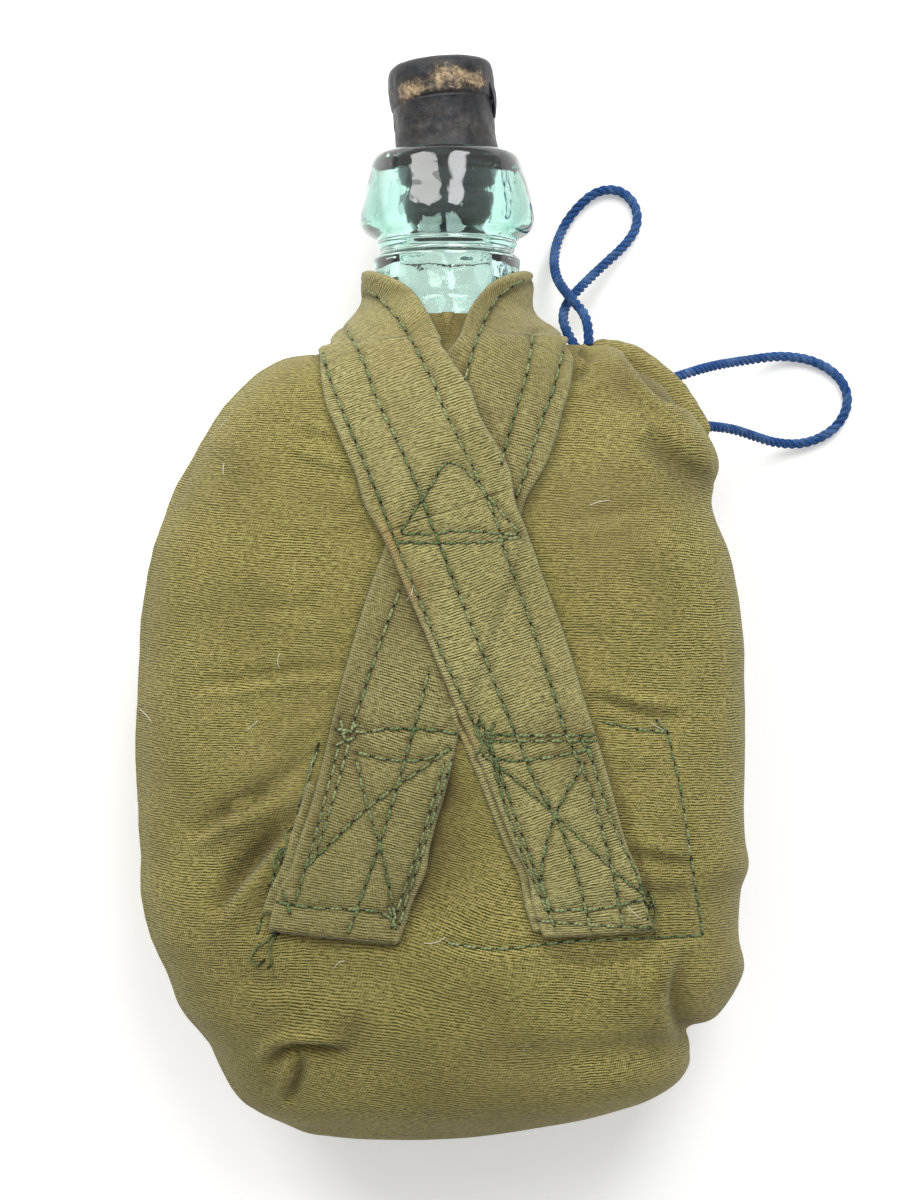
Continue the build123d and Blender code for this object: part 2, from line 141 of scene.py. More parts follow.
# ---- rows of stitches in plan, grouped by the CAD node that each group stands for ----
STITCH_ROWS = {
    "under_strap_stitching": [
        [(17.2, 103.4), (11.1, 98.5), (7.0, 89.8), (3.7, 78.9)],
        [(18.9, 90.2), (17.3, 80.8), (13.5, 68.0), (11.6, 60.5)],
        [(25.3, 86.0), (22.9, 77.1), (20.0, 69.4), (16.3, 57.7), (14.8, 53.6)],
        [(-10.0, 33.9), (-14.7, 21.1), (-20.7, 3.0)],
        [(-3.8, 16.2), (-6.8, 5.1)],
    ],
    "over_strap_stitching": [
        [(-27.2, 86.0), (-24.9, 78.6), (-19.9, 66.6), (-15.4, 55.8), (-11.5, 45.7)],
        [(-22.2, 91.9), (-18.4, 84.3), (-14.8, 74.5), (-11.5, 67.6), (-7.9, 60.0), (-2.7, 46.5)],
        [(-18.1, 101.5), (-14.9, 98.8), (-10.0, 92.4), (-7.1, 87.0), (-3.2, 79.2), (0.0, 71.2),
         (5.2, 60.8), (10.3, 49.3), (12.0, 42.9)],
    ],
    "extension_stitching": [
        [(-11.5, 45.7), (-7.8, 36.7), (-1.4, 21.2), (7.1, 2.4)],
        [(-2.7, 46.5), (2.4, 33.5), (8.6, 18.0), (14.5, 3.7)],
        [(12.0, 42.9), (15.8, 32.7), (20.8, 18.0), (25.3, 3.6)],
    ],
    "splice_stitching": [
        [(-9.8, 46.2), (-3.4, 56.0), (-0.8, 60.4), (2.6, 60.6), (7.4, 55.6), (12.2, 49.8), (15.4, 45.9)],
        [(-9.8, 45.9), (-3.2, 45.8), (2.8, 46.5), (15.2, 45.7)],
        [(-11.0, 44.1), (-2.3, 43.9), (7.9, 44.1), (15.8, 45.2)],
    ],
    "left_box_stitching": [
        [(-24.0, 4.2), (-17.9, 3.6), (-13.0, 4.3), (-7.4, 4.3), (-1.7, 3.9), (2.2, 3.2)],
        [(-19.4, -0.7), (-13.6, -2.1), (-8.7, -2.5), (-4.4, -2.1), (1.1, 0.0)],
        [(-19.4, -2.1), (-16.8, -12.4), (-13.6, -23.3), (-10.8, -36.7)],
        [(-0.2, -0.6), (-16.6, -12.4), (-30.2, -25.6)],
        [(-36.7, -33.1), (-28.0, -34.1), (-15.8, -34.6), (-11.1, -36.7)],
        [(-23.0, 0.6), (-26.6, -13.0), (-32.3, -33.0)],
        [(-20.8, 1.4), (-24.0, -10.0), (-28.6, -24.6)],
        [(-6.8, 5.1), (-9.6, -4.9), (-14.5, -21.1), (-21.1, -39.8)],
        [(1.1, -2.1), (-3.8, -17.7), (-10.2, -37.6)],
        [(-0.4, -2.6), (-5.2, -18.6), (-11.8, -38.4)],
        [(-22.9, 6.4), (-21.6, 1.6)], [(-23.0, 2.8), (-18.6, 5.4)], [(-24.0, 0.6), (-19.4, 2.6)],
        [(-35.2, -30.4), (-33.4, -35.6)], [(-12.4, -33.4), (-10.8, -38.6)],
    ],
    "right_box_stitching": [
        [(6.9, 5.0), (7.5, 1.8), (16.7, 1.7), (32.4, 1.6)],
        [(7.8, 3.4), (16.0, 2.9), (32.0, 2.8)],
        [(8.1, -2.1), (16.0, -2.5), (23.8, -1.5), (30.9, -0.1)],
        [(11.1, -3.6), (23.1, -14.1), (36.1, -26.6), (43.4, -32.5)],
        [(29.6, -2.9), (23.1, -14.1), (20.3, -25.4), (21.0, -31.2)],
        [(8.1, 2.8), (12.4, -11.9), (16.7, -24.1), (23.1, -38.3)],
        [(9.0, 1.6), (13.4, -11.0), (18.4, -25.0), (22.4, -34.6)],
        [(14.5, 3.7), (18.8, -7.0), (23.8, -15.6), (27.4, -25.5), (30.9, -39.2)],
        [(25.3, 3.6), (30.9, -9.3), (35.2, -25.1), (37.9, -38.8)],
        [(30.2, 0.5), (34.6, -13.7), (41.8, -29.6), (43.4, -37.5)],
        [(22.5, -34.7), (34.0, -34.3), (43.4, -32.5)],
        [(19.5, -36.8), (32.4, -38.1), (44.1, -39.1)],
        [(6.8, 7.2), (9.4, 1.4)], [(6.6, 2.2), (10.4, 5.2)], [(7.6, -1.6), (10.6, 3.4)],
        [(28.6, 2.2), (31.0, -2.4)], [(41.4, -29.0), (43.6, -34.6)], [(20.2, -29.2), (22.0, -35.0)],
    ],
    "patch_stitching": [
        [(33.2, 5.6), (40.6, 4.0), (48.0, 3.1)],
        [(48.0, 3.1), (51.0, -10.0), (53.3, -24.5), (56.2, -41.8)],
        [(56.2, -41.8), (44.9, -41.5), (26.9, -41.6), (14.0, -42.8), (6.9, -42.7), (-0.2, -41.6)],
        [(-27.6, -0.2), (-31.5, -12.2), (-34.6, -22.4), (-36.8, -25.9), (-38.1, -31.1), (-41.0, -40.6)],
    ],
}
COVER_STITCHES = ["patch_stitching"]

# ---- creases of the cover: line in plan, half width of the groove, its depth, and the height
# of the soft ridge beside it, which lies on the left of the line (on the right if negative) ----
CREASES = [
    ([(-20.6, 16.8), (-31.0, 16.4), (-42.0, 14.6), (-55.0, 12.6)], 0.8, 1.3, 0.9),
    ([(-24.0, 9.6), (-31.0, 7.6), (-38.0, 3.4)], 1.0, 0.4, 0.5),
    ([(-27.8, -1.6), (-35.0, -5.6), (-43.7, -12.0), (-52.0, -15.4)], 0.9, 1.3, 1.0),
    ([(-31.0, -6.4), (-39.0, -11.0), (-48.0, -15.0), (-56.7, -20.1)], 1.0, 2.0, 1.4),
    ([(-33.0, -14.8), (-40.4, -23.4), (-46.2, -30.0), (-50.8, -37.4)], 1.4, 3.2, 1.8),
    ([(-36.0, -29.0), (-41.0, -35.6), (-44.0, -42.0)], 1.4, 0.9, 0.6),
    ([(-39.4, -70.8), (-36.2, -66.6), (-31.8, -65.4), (-21.4, -65.6)], 0.9, 2.2, 1.3),
    ([(-31.9, -67.2), (-33.2, -72.8), (-35.4, -79.0)], 0.8, 2.2, -1.1),
    ([(29.4, 11.6), (36.0, 9.8), (42.7, 7.6), (52.0, 6.4)], 0.8, 1.3, 0.9),
    ([(34.6, -2.6), (40.0, -4.6), (47.0, -5.4)], 1.1, 0.4, 0.4),
    ([(37.3, -21.2), (45.0, -24.0), (55.0, -26.1)], 0.9, 1.1, 0.8),
    ([(45.5, 52.0), (39.0, 50.6), (31.0, 49.0), (24.0, 48.6)], 1.0, 0.4, 0.3),
    ([(-31.0, -50.0), (-38.0, -52.0), (-46.0, -50.0)], 1.4, 0.5, 0.5),
    ([(-24.5, 28.0), (-34.0, 30.0), (-44.0, 29.0)], 1.0, 0.4, 0.3),
    ([(40.6, -29.6), (47.0, -31.6), (54.0, -31.0)], 1.1, 0.5, 0.4),
    ([(53.0, -45.0), (50.6, -50.0), (50.0, -56.0), (51.8, -62.4), (57.5, -67.5)], 1.7, 2.0, -0.9),
    ([(40.4, 88.0), (42.9, 83.9), (45.6, 79.8), (49.4, 77.0), (55.2, 75.4)], 1.3, 2.8, -1.3),
    ([(26.6, 79.4), (29.4, 81.2), (32.9, 83.4)], 0.7, 1.4, -0.6),
    ([(27.6, 77.8), (31.0, 79.4), (34.0, 81.8)], 0.6, 0.8, -0.4),
    ([(43.7, 68.7), (50.0, 64.0), (55.0, 60.6), (60.2, 57.0)], 2.4, 2.4, 0.9),
    ([(29.4, 87.0), (31.4, 85.4), (32.4, 84.0)], 1.1, 2.4, -0.6),
    ([(-33.9, 68.6), (-27.0, 67.2), (-20.9, 66.1)], 0.8, 0.5, 0.3),
    ([(-34.8, 62.8), (-27.0, 60.0), (-19.8, 57.6)], 0.8, 0.5, 0.3),
    ([(-18.4, 52.0), (-24.0, 50.0), (-29.0, 50.6)], 0.8, 0.35, 0.3),
    ([(-14.0, 30.0), (-19.0, 27.0), (-25.0, 26.4)], 0.8, 0.3, 0.3),
    ([(24.0, 28.0), (30.0, 25.0), (37.0, 25.0)], 0.9, 0.3, 0.3),
    ([(2.0, -50.0), (10.0, -56.0), (14.0, -66.0)], 2.6, 0.5, 0.4),
]
DARK_SPOTS = [           # x, y, size, strength
    (-22.0, -62.0, 4.0, 0.45), (-19.0, -59.0, 3.0, 0.35), (-7.0, -27.0, 8.0, 0.60),
    (-2.0, -9.0, 7.0, 0.55), (-4.0, -18.0, 12.0, 0.45), (46.6, -51.4, 2.6, 0.4),
    (-40.0, -74.0, 5.0, 0.3), (38.0, 80.0, 5.0, 0.25), (-30.0, -24.0, 9.0, 0.25),
    (24.0, 74.0, 4.0, 0.2), (0.0, 96.0, 7.0, 0.35), (56.0, 60.0, 6.0, 0.3),
    (44.0, -60.0, 6.0, 0.2), (33.0, -22.0, 7.0, 0.2), (-46.0, 62.0, 6.0, 0.15),
]
SHOULDER_BUMP = (35.6, 85.2, 4.6, 1.3)      # x, y, size and height of the gathered bump

# ---- drawstring loops: the CAD's own routes, drawn together where the top loop leaves the cloth ----
HAIR_FLOOR = 0.1         # lowest place of a hair of the cord
TOP_LOOP = [
    (29.4, 89.6, 32.0), (26.4, 94.8, 28.6), (27.4, 100.6, 21.6), (32.2, 106.2, 14.0),
    (37.6, 111.8, 7.4), (42.8, 116.8, 3.0), (45.9, 121.8, 1.3), (45.2, 127.0, 1.3),
    (41.4, 130.4, 1.3), (36.2, 130.2, 1.3), (31.4, 126.4, 1.3), (27.4, 120.6, 2.4),
    (25.2, 113.6, 8.6), (25.4, 107.0, 17.6), (28.4, 101.4, 27.0), (32.6, 95.8, 33.0),
    (32.2, 89.8, 34.4),
]
SIDE_LOOP = [
    (52.0, 82.6, 32.0), (58.2, 85.2, 24.4), (65.0, 87.3, 15.0), (72.4, 89.0, 6.8),
    (80.2, 90.5, 1.6), (88.3, 89.4, 1.3), (94.7, 85.2, 1.3), (96.7, 79.0, 1.3),
    (93.3, 72.7, 1.3), (86.6, 69.3, 1.3), (79.1, 69.1, 3.6), (72.2, 70.6, 11.6),
    (65.4, 72.0, 20.4), (59.0, 71.8, 28.6),
]
TOP_LOOP_LENGTH = 124.3
SIDE_LOOP_LENGTH = 118.2
CASING_ARC = [(33.0, 89.6), (42.0, 87.0), (49.5, 81.6), (55.0, 75.0), (58.3, 67.5)]
CASING_HEIGHT = 33.0
CASING_RADIUS = 3.1
CASING_INSET = 1.3       # how far the roll has slumped towards the flask


# ---- small tools ----
def catmull_rom(values, places):
    """Points of a smooth curve through values, at places counted in values."""
    values = np.asarray(values, float)
    places = np.asarray(places, float)
    padded = np.vstack([2 * values[0] - values[1], values, 2 * values[-1] - values[-2]])
    index = np.clip(np.floor(places).astype(int), 0, len(values) - 2)
    share = (places - index)[..., None]
    before, start, end, after = (padded[index + step] for step in range(4))
    slope = end - before
    bend = 2 * before - 5 * start + 4 * end - after
    twist = 3 * start - before - 3 * end + after
    return 0.5 * (2 * start + slope * share + bend * share ** 2 + twist * share ** 3)


def length_along(points):
    """Length of a chain of points up to each of them."""
    return np.concatenate([[0], np.cumsum(np.linalg.norm(np.diff(points, axis=0), axis=1))])


def interpolate(marks, length, table):
    """Rows of a table at marks along a length that is known for each of its rows."""
    return np.stack([np.interp(marks, length, column) for column in table.T], 1)


def resample(points, spacing):
    """Points a spacing apart along a chain of points, and how far along it each one is."""
    length = length_along(points)
    marks = np.linspace(0, length[-1], max(2, int(round(length[-1] / spacing)) + 1))
    return interpolate(marks, length, points), marks


def smooth_line(points, spacing):
    """Points a spacing apart along a smooth curve through a few points."""
    return resample(catmull_rom(points, np.linspace(0, len(points) - 1, 60 * len(points))), spacing)[0]


def signed_power(value, exponent):
    return np.copysign(np.abs(value) ** exponent, value)


def unit(vectors):
    return vectors / np.maximum(np.linalg.norm(vectors, axis=-1, keepdims=True), 1e-9)


def smoothstep(low, high, value):
    share = np.clip((value - low) / (high - low), 0, 1)
    return share * share * (3 - 2 * share)


def noise_at(points, size, seed):
    """Smooth noise, about -1 to 1, with lumps of the given size."""
    offset = Vector((seed * 17.3, seed * 5.1, seed * 9.7))
    flat = np.asarray(points, float).reshape(-1, 3) / size
    values = np.array([noise.noise(Vector(point) + offset) for point in flat])
    return values.reshape(np.shape(points)[:-1])


def distance_to_line(points, line):
    """Distance in plan from each point to a chain of points, the share along it, and the side."""
    line = np.asarray(line, float)
    start_of = length_along(line)
    best = np.full(points.shape[:-1], 1e9)
    share = np.zeros(points.shape[:-1])
    side = np.ones(points.shape[:-1])
    for index, (start, end) in enumerate(zip(line[:-1], line[1:])):
        run = end - start
        along = np.clip(((points - start) @ run) / (run @ run), 0, 1)
        gap = np.linalg.norm(points - start - along[..., None] * run, axis=-1)
        closer = gap < best
        best = np.where(closer, gap, best)
        reached = start_of[index] + along * np.linalg.norm(run)
        share = np.where(closer, reached / start_of[-1], share)
        across = run[0] * (points[..., 1] - start[1]) - run[1] * (points[..., 0] - start[0])
        side = np.where(closer, np.sign(across), side)
    return best, share, side


def stitch_distance(points, groups):
    """Distance in plan from each point to the nearest row of stitches in the groups."""
    best = np.full(points.shape[:-1], 1e9)
    for group in groups:
        for row in STITCH_ROWS[group]:
            best = np.minimum(best, distance_to_line(points, row)[0])
    return best


# ---- the cover's surface ----
def soft_floor(height):
    return 0.5 * (height + np.sqrt(height ** 2 + FLOOR_SOFTNESS ** 2))


def cover_point(row, turn):
    """Point of the cover's surface at a row (counted down from the neck) and a turn."""
    left_x, left_y, right_x, right_y, front, back, power = np.moveaxis(catmull_rom(ROWS, row), -1, 0)
    across = signed_power(np.cos(turn), 2 / power)
    up = signed_power(np.sin(turn), 2 / power)
    x = (left_x + right_x) / 2 + (right_x - left_x) / 2 * across
    y = (left_y + right_y) / 2 + (right_y - left_y) / 2 * across
    z = MIDDLE + np.where(up > 0, front, back) * up
    return np.stack([x, y, soft_floor(z)], -1)


def cover_normal(row, turn):
    """Outward direction of the cover's surface."""
    step = 0.01
    round_it = cover_point(row, turn + step) - cover_point(row, turn - step)
    down_it = cover_point(row + step, turn) - cover_point(row - step, turn)
    return unit(np.cross(round_it, down_it))


def row_at(turn, place):
    """Row at which the surface has a place along the neck axis, for a turn."""
    low = np.zeros_like(place)
    high = np.full_like(place, len(ROWS) - 1)
    for _ in range(28):
        middle = (low + high) / 2
        above = cover_point(middle, turn)[..., 1] > place
        low = np.where(above, middle, low)
        high = np.where(above, high, middle)
    return (low + high) / 2


def turn_at(x, y):
    """Turn of the surface's front at a point in plan."""
    turn = np.full_like(x, math.pi / 2)
    for _ in range(8):
        row = row_at(turn, y)
        left_x, _, right_x, _, _, _, power = np.moveaxis(catmull_rom(ROWS, row), -1, 0)
        across = np.clip((2 * x - left_x - right_x) / (right_x - left_x), -1, 1)
        turn = np.arccos(signed_power(across, power / 2))
    return turn


# ---- objects and meshes ----
def add_object(name, data):
    thing = bpy.data.objects.new(name, data)
    bpy.context.scene.collection.objects.link(thing)
    return thing


def mesh_piece(name, points, faces, material, body=CANTEEN, uv=None, values=None):
    """A smooth-shaded mesh from points in millimetres, riding on a body."""
    mesh = bpy.data.meshes.new(name)
    mesh.from_pydata((np.asarray(points) * MM).tolist(), [], faces)
    mesh.polygons.foreach_set("use_smooth", [True] * len(mesh.polygons))
    if uv is not None:
        corner = np.zeros(len(mesh.loops), np.int32)
        mesh.loops.foreach_get("vertex_index", corner)
        layer = mesh.uv_layers.new(name="UVMap")
        layer.data.foreach_set("uv", np.asarray(uv, np.float32)[corner].ravel())
    for key, numbers in (values or {}).items():
        attribute = mesh.attributes.new(key, "FLOAT", "POINT")
        attribute.data.foreach_set("value", np.asarray(numbers, np.float32).ravel())
    mesh.update()
    piece = add_object(name, mesh)
    mesh.materials.append(material)
    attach(piece, body)
    return piece


def grid_faces(rows, columns, closed=False, start=0, flip=False):
    """Quads of a grid of points, row after row, closed round its columns if asked."""
    faces = []
    span = columns if closed else columns - 1
    for row in range(rows - 1):
        for column in range(span):
            after = (column + 1) % columns
            a = start + row * columns + column
            b = start + row * columns + after
            face = [a, b, b + columns, a + columns]
            faces.append(face[::-1] if flip else face)
    return faces


def tube_faces(rows, around):
    """Quads of a closed form of revolution, with a flat face at each end."""
    faces = grid_faces(rows, around, closed=True)
    faces.append(list(range(around))[::-1])
    faces.append(list(range((rows - 1) * around, rows * around)))
    return faces


def merge_close(piece):
    """Join points that lie together, as at a pole or a tapered edge, and drop flat faces."""
    shape = bmesh.new()
    shape.from_mesh(piece.data)
    bmesh.ops.remove_doubles(shape, verts=shape.verts, dist=MERGE_DISTANCE * MM)
    bmesh.ops.dissolve_degenerate(shape, edges=shape.edges, dist=MERGE_DISTANCE * MM)
    bmesh.ops.recalc_face_normals(shape, faces=shape.faces)
    shape.to_mesh(piece.data)
    shape.free()


# ---- camera, floor and light ----
def add_camera():
    data = bpy.data.cameras.new("camera")
    data.lens = CAMERA_LENS
    data.sensor_width = 36.0
    data.clip_start = 0.01
    camera = add_object("camera", data)
    camera.location = CAMERA_PLACE
    bpy.context.scene.camera = camera


def add_light(name, place, aim, size, power, colour):
    """A rectangular soft light: size is its width and its length."""
    data = bpy.data.lights.new(name, "AREA")
    data.shape = "RECTANGLE"
    data.size, data.size_y = size
    data.energy = power
    data.color = colour
    lamp = add_object(name, data)
    lamp.location = place
    lamp.rotation_euler = (Vector(aim) - Vector(place)).to_track_quat("-Z", "Y").to_euler()


def add_world():
    """White surroundings, a little dimmer towards the foot of the canteen."""
    world = bpy.data.worlds.new("studio")
    world.use_nodes = True
    nodes, links = world.node_tree.nodes, world.node_tree.links
    direction = nodes.new("ShaderNodeTexCoord")
    parts = nodes.new("ShaderNodeSeparateXYZ")
    strength = nodes.new("ShaderNodeMapRange")
    for key, value in {"From Min": -0.75, "From Max": -0.10, "To Min": 0.50, "To Max": 0.60}.items():
        strength.inputs[key].default_value = value
    links.new(direction.outputs["Generated"], parts.inputs[0])
    links.new(parts.outputs["Y"], strength.inputs["Value"])
    links.new(strength.outputs["Result"], nodes["Background"].inputs["Strength"])
    nodes["Background"].inputs["Color"].default_value = (1.0, 1.0, 1.0, 1)
    bpy.context.scene.world = world


def add_studio(floor_material):
    signs = ((-1, -1), (1, -1), (1, 1), (-1, 1))
    corners = [(x * FLOOR_REACH, y * FLOOR_REACH, FLOOR_LEVEL) for x, y in signs]
    mesh = bpy.data.meshes.new("floor")
    mesh.from_pydata(corners, [], [(0, 1, 2, 3)])
    mesh.materials.append(floor_material)
    floor = add_object("floor", mesh)
    add_world()
    neck = (0, 0.12, 0.03)
    add_light("window_left", (-0.60, 0.82, 0.80), neck, (0.42, 0.95), 8.2, (1.0, 0.99, 0.97))
    add_light("window_right", (0.27, 0.74, 0.86), neck, (0.40, 0.85), 8.2, (0.99, 0.99, 1.0))
    bpy.context.scene.view_settings.view_transform = "Standard"


# ---- materials ----
class Graph:
    """A material and short ways to add nodes to it."""

    def __init__(self, name):
        self.material = bpy.data.materials.new(name)
        self.material.use_nodes = True
        self.nodes = self.material.node_tree.nodes
        self.links = self.material.node_tree.links
        self.shader = self.nodes["Principled BSDF"]
        self.output = self.nodes["Material Output"]

    def set(self, node, key, value):
        if isinstance(value, bpy.types.NodeSocket):
            self.links.new(value, node.inputs[key])
        else:
            if isinstance(value, (tuple, list)) and len(value) == 3 and node.inputs[key].type == "RGBA":
                value = (*value, 1)
            node.inputs[key].default_value = value

    def node(self, kind, inputs=None, **settings):
        node = self.nodes.new("ShaderNode" + kind)
        for key, value in settings.items():
            setattr(node, key, value)
        for key, value in (inputs or {}).items():
            self.set(node, key, value)
        return node

    def place(self):
        """Position in the piece's own space, in metres."""
        return self.node("TexCoord").outputs["Object"]

    def uv(self):
        return self.node("UVMap").outputs["UV"]

    def math(self, operation, first, second=0.0, third=0.0):
        return self.node("Math", {0: first, 1: second, 2: third}, operation=operation).outputs[0]

    def mix(self, share, first, second, blend="MIX"):
        node = self.node("Mix", {0: share, 6: first, 7: second}, data_type="RGBA", blend_type=blend)
        return node.outputs[2]

    def noise(self, vector, scale, detail=2.0, roughness=0.55, distortion=0.0):
        inputs = {"Vector": vector, "Scale": scale, "Detail": detail, "Roughness": roughness,
                  "Distortion": distortion}
        return self.node("TexNoise", inputs).outputs["Fac"]

    def band(self, value, low, high, start=0.0, end=1.0):
        """value mapped from low..high to start..end, held at both ends."""
        inputs = {"Value": value, "From Min": low, "From Max": high, "To Min": start, "To Max": end}
        return self.node("MapRange", inputs, clamp=True).outputs["Result"]

    def stretched(self, vector, scale):
        return self.node("Mapping", {"Vector": vector, "Scale": scale}).outputs["Vector"]

    def attribute(self, name):
        return self.node("Attribute", attribute_name=name).outputs["Fac"]

    def bump(self, height, distance, strength):
        inputs = {"Height": height, "Distance": distance, "Strength": strength}
        return self.node("Bump", inputs).outputs["Normal"]

    def shade(self, inputs):
        """Set several inputs of the shader and give the material."""
        for key, value in inputs.items():
            self.set(self.shader, key, value)
        return self.material


def twill_material(name, light, dark, slope, wear):
    """Cotton twill: fine ribs, broken into short floats, with dirt, slubs and pale lint, and painted
    shade in its grooves and creases.

    slope is how steeply the ribs climb across the cloth, and wear how pale its rubbed edges are.
    """
    g = Graph(name)
    uv = g.uv()
    place = g.place()
    parts = g.node("SeparateXYZ", {"Vector": uv})
    u = g.math("MULTIPLY", parts.outputs["X"], 100.0)
    v = g.math("MULTIPLY", parts.outputs["Y"], 100.0)
    wander = g.math("SUBTRACT", g.noise(uv, 4.0, 3.0), 0.5)
    wobble = g.math("SUBTRACT", g.noise(g.stretched(uv, (40.0, 70.0, 1.0)), 1.0, 2.0), 0.5)
    climb = g.math("MULTIPLY_ADD", u, slope, v)
    lifted = g.math("MULTIPLY_ADD", g.math("MAXIMUM", u, 0.0), -0.09, climb)
    drift = g.math("MULTIPLY_ADD", wander, 2.4, g.math("MULTIPLY", wobble, 0.5))
    rib_place = g.math("ADD", lifted, drift)
    rib_turn = g.math("MULTIPLY", rib_place, math.tau / RIB_PITCH)
    rib = g.math("MULTIPLY_ADD", g.math("SINE", rib_turn), 0.5, 0.5)
    float_turn = g.math("MULTIPLY", u, math.tau / FLOAT_LENGTH)
    float_turn = g.math("ADD", float_turn, g.math("MULTIPLY", rib_turn, 0.5))
    floats = g.math("MULTIPLY_ADD", g.math("SINE", float_turn), 0.5, 0.5)
    fibre = g.noise(g.stretched(uv, (80.0, 210.0, 1.0)), 1.0, 3.0, 0.7)
    grain = g.noise(uv, 420.0, 2.0, 0.7)
    broken = g.band(g.noise(g.stretched(uv, (55.0, 190.0, 1.0)), 1.0, 2.0), 0.34, 0.60)
    napped = g.band(g.noise(uv, 11.0, 3.0, 0.65), 0.40, 0.60, 1.0, 0.30)
    rib_depth = g.math("MULTIPLY", g.math("SUBTRACT", rib, 0.5), g.math("MULTIPLY", broken, napped))
    # Painted shade and highlight of the weave: the colour follows the same ribs, floats and fibres as
    # the bump, dark in the valleys and light on the crests, along with the fibres' own tone.
    shade = g.math("MULTIPLY_ADD", floats, 0.12, g.math("MULTIPLY", rib_depth, 1.05))
    shade = g.math("MULTIPLY_ADD", fibre, 0.95, g.math("MULTIPLY_ADD", grain, 0.50, shade))
    shade = g.band(shade, 0.57, 0.97)

    colour = g.mix(shade, dark, light)
    patches = g.noise(place, 26.0, 4.0, 0.6)
    colour = g.mix(g.band(patches, 0.40, 0.64, 0.0, 0.40), colour, (0.135, 0.115, 0.036))
    warm = g.noise(place, 11.0, 3.0, 0.6)
    colour = g.mix(g.band(warm, 0.50, 0.72, 0.0, 0.25), colour, (0.31, 0.245, 0.115))
    slub = g.noise(g.stretched(uv, (26.0, 150.0, 1.0)), 1.0, 1.0)
    colour = g.mix(g.band(slub, 0.735, 0.79, 0.0, 0.55), colour, (0.055, 0.045, 0.02))
    speck = g.noise(uv, 160.0, 1.0)
    colour = g.mix(g.band(speck, 0.77, 0.80, 0.0, 0.65), colour, (0.045, 0.03, 0.018))
    lint = g.noise(g.stretched(uv, (120.0, 70.0, 1.0)), 1.0, 1.0)
    colour = g.mix(g.band(lint, 0.765, 0.80, 0.0, 0.5), colour, (0.50, 0.47, 0.36))
    # Darkening towards a dark olive from a vertex attribute: partly patchy dirt, partly painted shade in
    # the creases, the stitch grooves, under and beside the straps and on the inner side of the casing
    # roll.
    dirt_and_shade = g.band(g.noise(place, 90.0, 3.0), 0.3, 0.6, 0.55, 1.0)
    dirt_and_shade = g.math("MULTIPLY", g.attribute("dirt_and_shade"), dirt_and_shade)
    colour = g.mix(dirt_and_shade, colour, (0.062, 0.045, 0.016))
    stain = g.band(g.noise(place, 140.0, 3.0), 0.35, 0.6, 0.3, 1.0)
    stain = g.math("MULTIPLY", g.attribute("stain"), stain)
    colour = g.mix(stain, colour, (0.33, 0.175, 0.05))
    rub = g.math("MULTIPLY", g.attribute("wear"), g.band(grain, 0.4, 0.65, 0.4 * wear, wear))
    colour = g.mix(rub, colour, (0.42, 0.385, 0.215))

    height = g.math("ADD", g.math("MULTIPLY", rib_depth, 0.75), g.math("MULTIPLY", floats, 0.2))
    height = g.math("MULTIPLY_ADD", fibre, 0.35, g.math("MULTIPLY_ADD", grain, 0.15, height))
    return g.shade({
        "Base Color": colour,
        "Roughness": g.band(grain, 0.3, 0.7, 0.86, 0.98),
        "Specular IOR Level": 0.12,
        "Sheen Weight": 0.12,
        "Sheen Roughness": 0.5,
        "Normal": g.bump(height, 0.00022, 0.85),
    })


def thread_material():
    """Green sewing thread: pale twisted floats, their ends painted dark as shade where they dive into
    the cloth.
    """
    g = Graph("green_thread")
    uv = g.uv()
    parts = g.node("SeparateXYZ", {"Vector": uv})
    along = parts.outputs["Y"]
    around = parts.outputs["X"]
    place = g.place()
    spin = g.math("MULTIPLY", around, math.tau)
    twist = g.math("SINE", g.math("ADD", g.math("MULTIPLY", along, 22.0), spin))
    middle = g.math("ABSOLUTE", g.math("SUBTRACT", along, 0.5))
    # Painted shade: both ends of each stitch darken to near black where the thread dives into its needle
    # hole.
    ends = g.band(middle, 0.26, 0.44)
    fade = g.noise(place, 60.0, 2.0)
    light = g.mix(g.band(fade, 0.35, 0.65), (0.105, 0.150, 0.054), (0.29, 0.33, 0.150))
    colour = g.mix(g.band(twist, -0.2, 0.8, 0.0, 0.60), light, (0.026, 0.044, 0.014))
    colour = g.mix(ends, colour, (0.010, 0.018, 0.008))
    return g.shade({
        "Base Color": colour,
        "Roughness": g.band(fade, 0.3, 0.7, 0.55, 0.8),
        "Specular IOR Level": 0.3,
        "Normal": g.bump(twist, 0.00008, 0.6),
    })


def yarn_material():
    """Blue cotton yarn: fine plies, with painted shade darkening the grooves between them, paler where
    it is rubbed.
    """
    g = Graph("cord_yarn")
    uv = g.uv()
    parts = g.node("SeparateXYZ", {"Vector": uv})
    place = g.place()
    turn = g.math("ADD", g.math("MULTIPLY", parts.outputs["Y"], 900.0),
                  g.math("MULTIPLY", parts.outputs["X"], 4 * math.tau))
    ply = g.math("MULTIPLY_ADD", g.math("SINE", turn), 0.5, 0.5)
    fuzz = g.noise(place, 1400.0, 3.0, 0.7)
    worn = g.noise(place, 170.0, 3.0, 0.6)
    # Painted shade: the colour darkens in the grooves between the plies, the same pattern the bump uses,
    # mixed with random fuzz.
    colour = g.mix(g.band(g.math("MULTIPLY_ADD", ply, 0.35, fuzz), 0.35, 1.0),
                   (0.003, 0.020, 0.090), (0.020, 0.092, 0.29))
    colour = g.mix(g.band(worn, 0.46, 0.70, 0.0, 0.6), colour, (0.110, 0.205, 0.37))
    height = g.math("MULTIPLY_ADD", fuzz, 0.6, ply)
    return g.shade({
        "Base Color": colour,
        "Roughness": g.band(fuzz, 0.3, 0.7, 0.75, 0.95),
        "Specular IOR Level": 0.15,
        "Sheen Weight": 0.25,
        "Sheen Tint": (0.4, 0.6, 1.0),
        "Normal": g.bump(height, 0.00012, 0.8),
    })


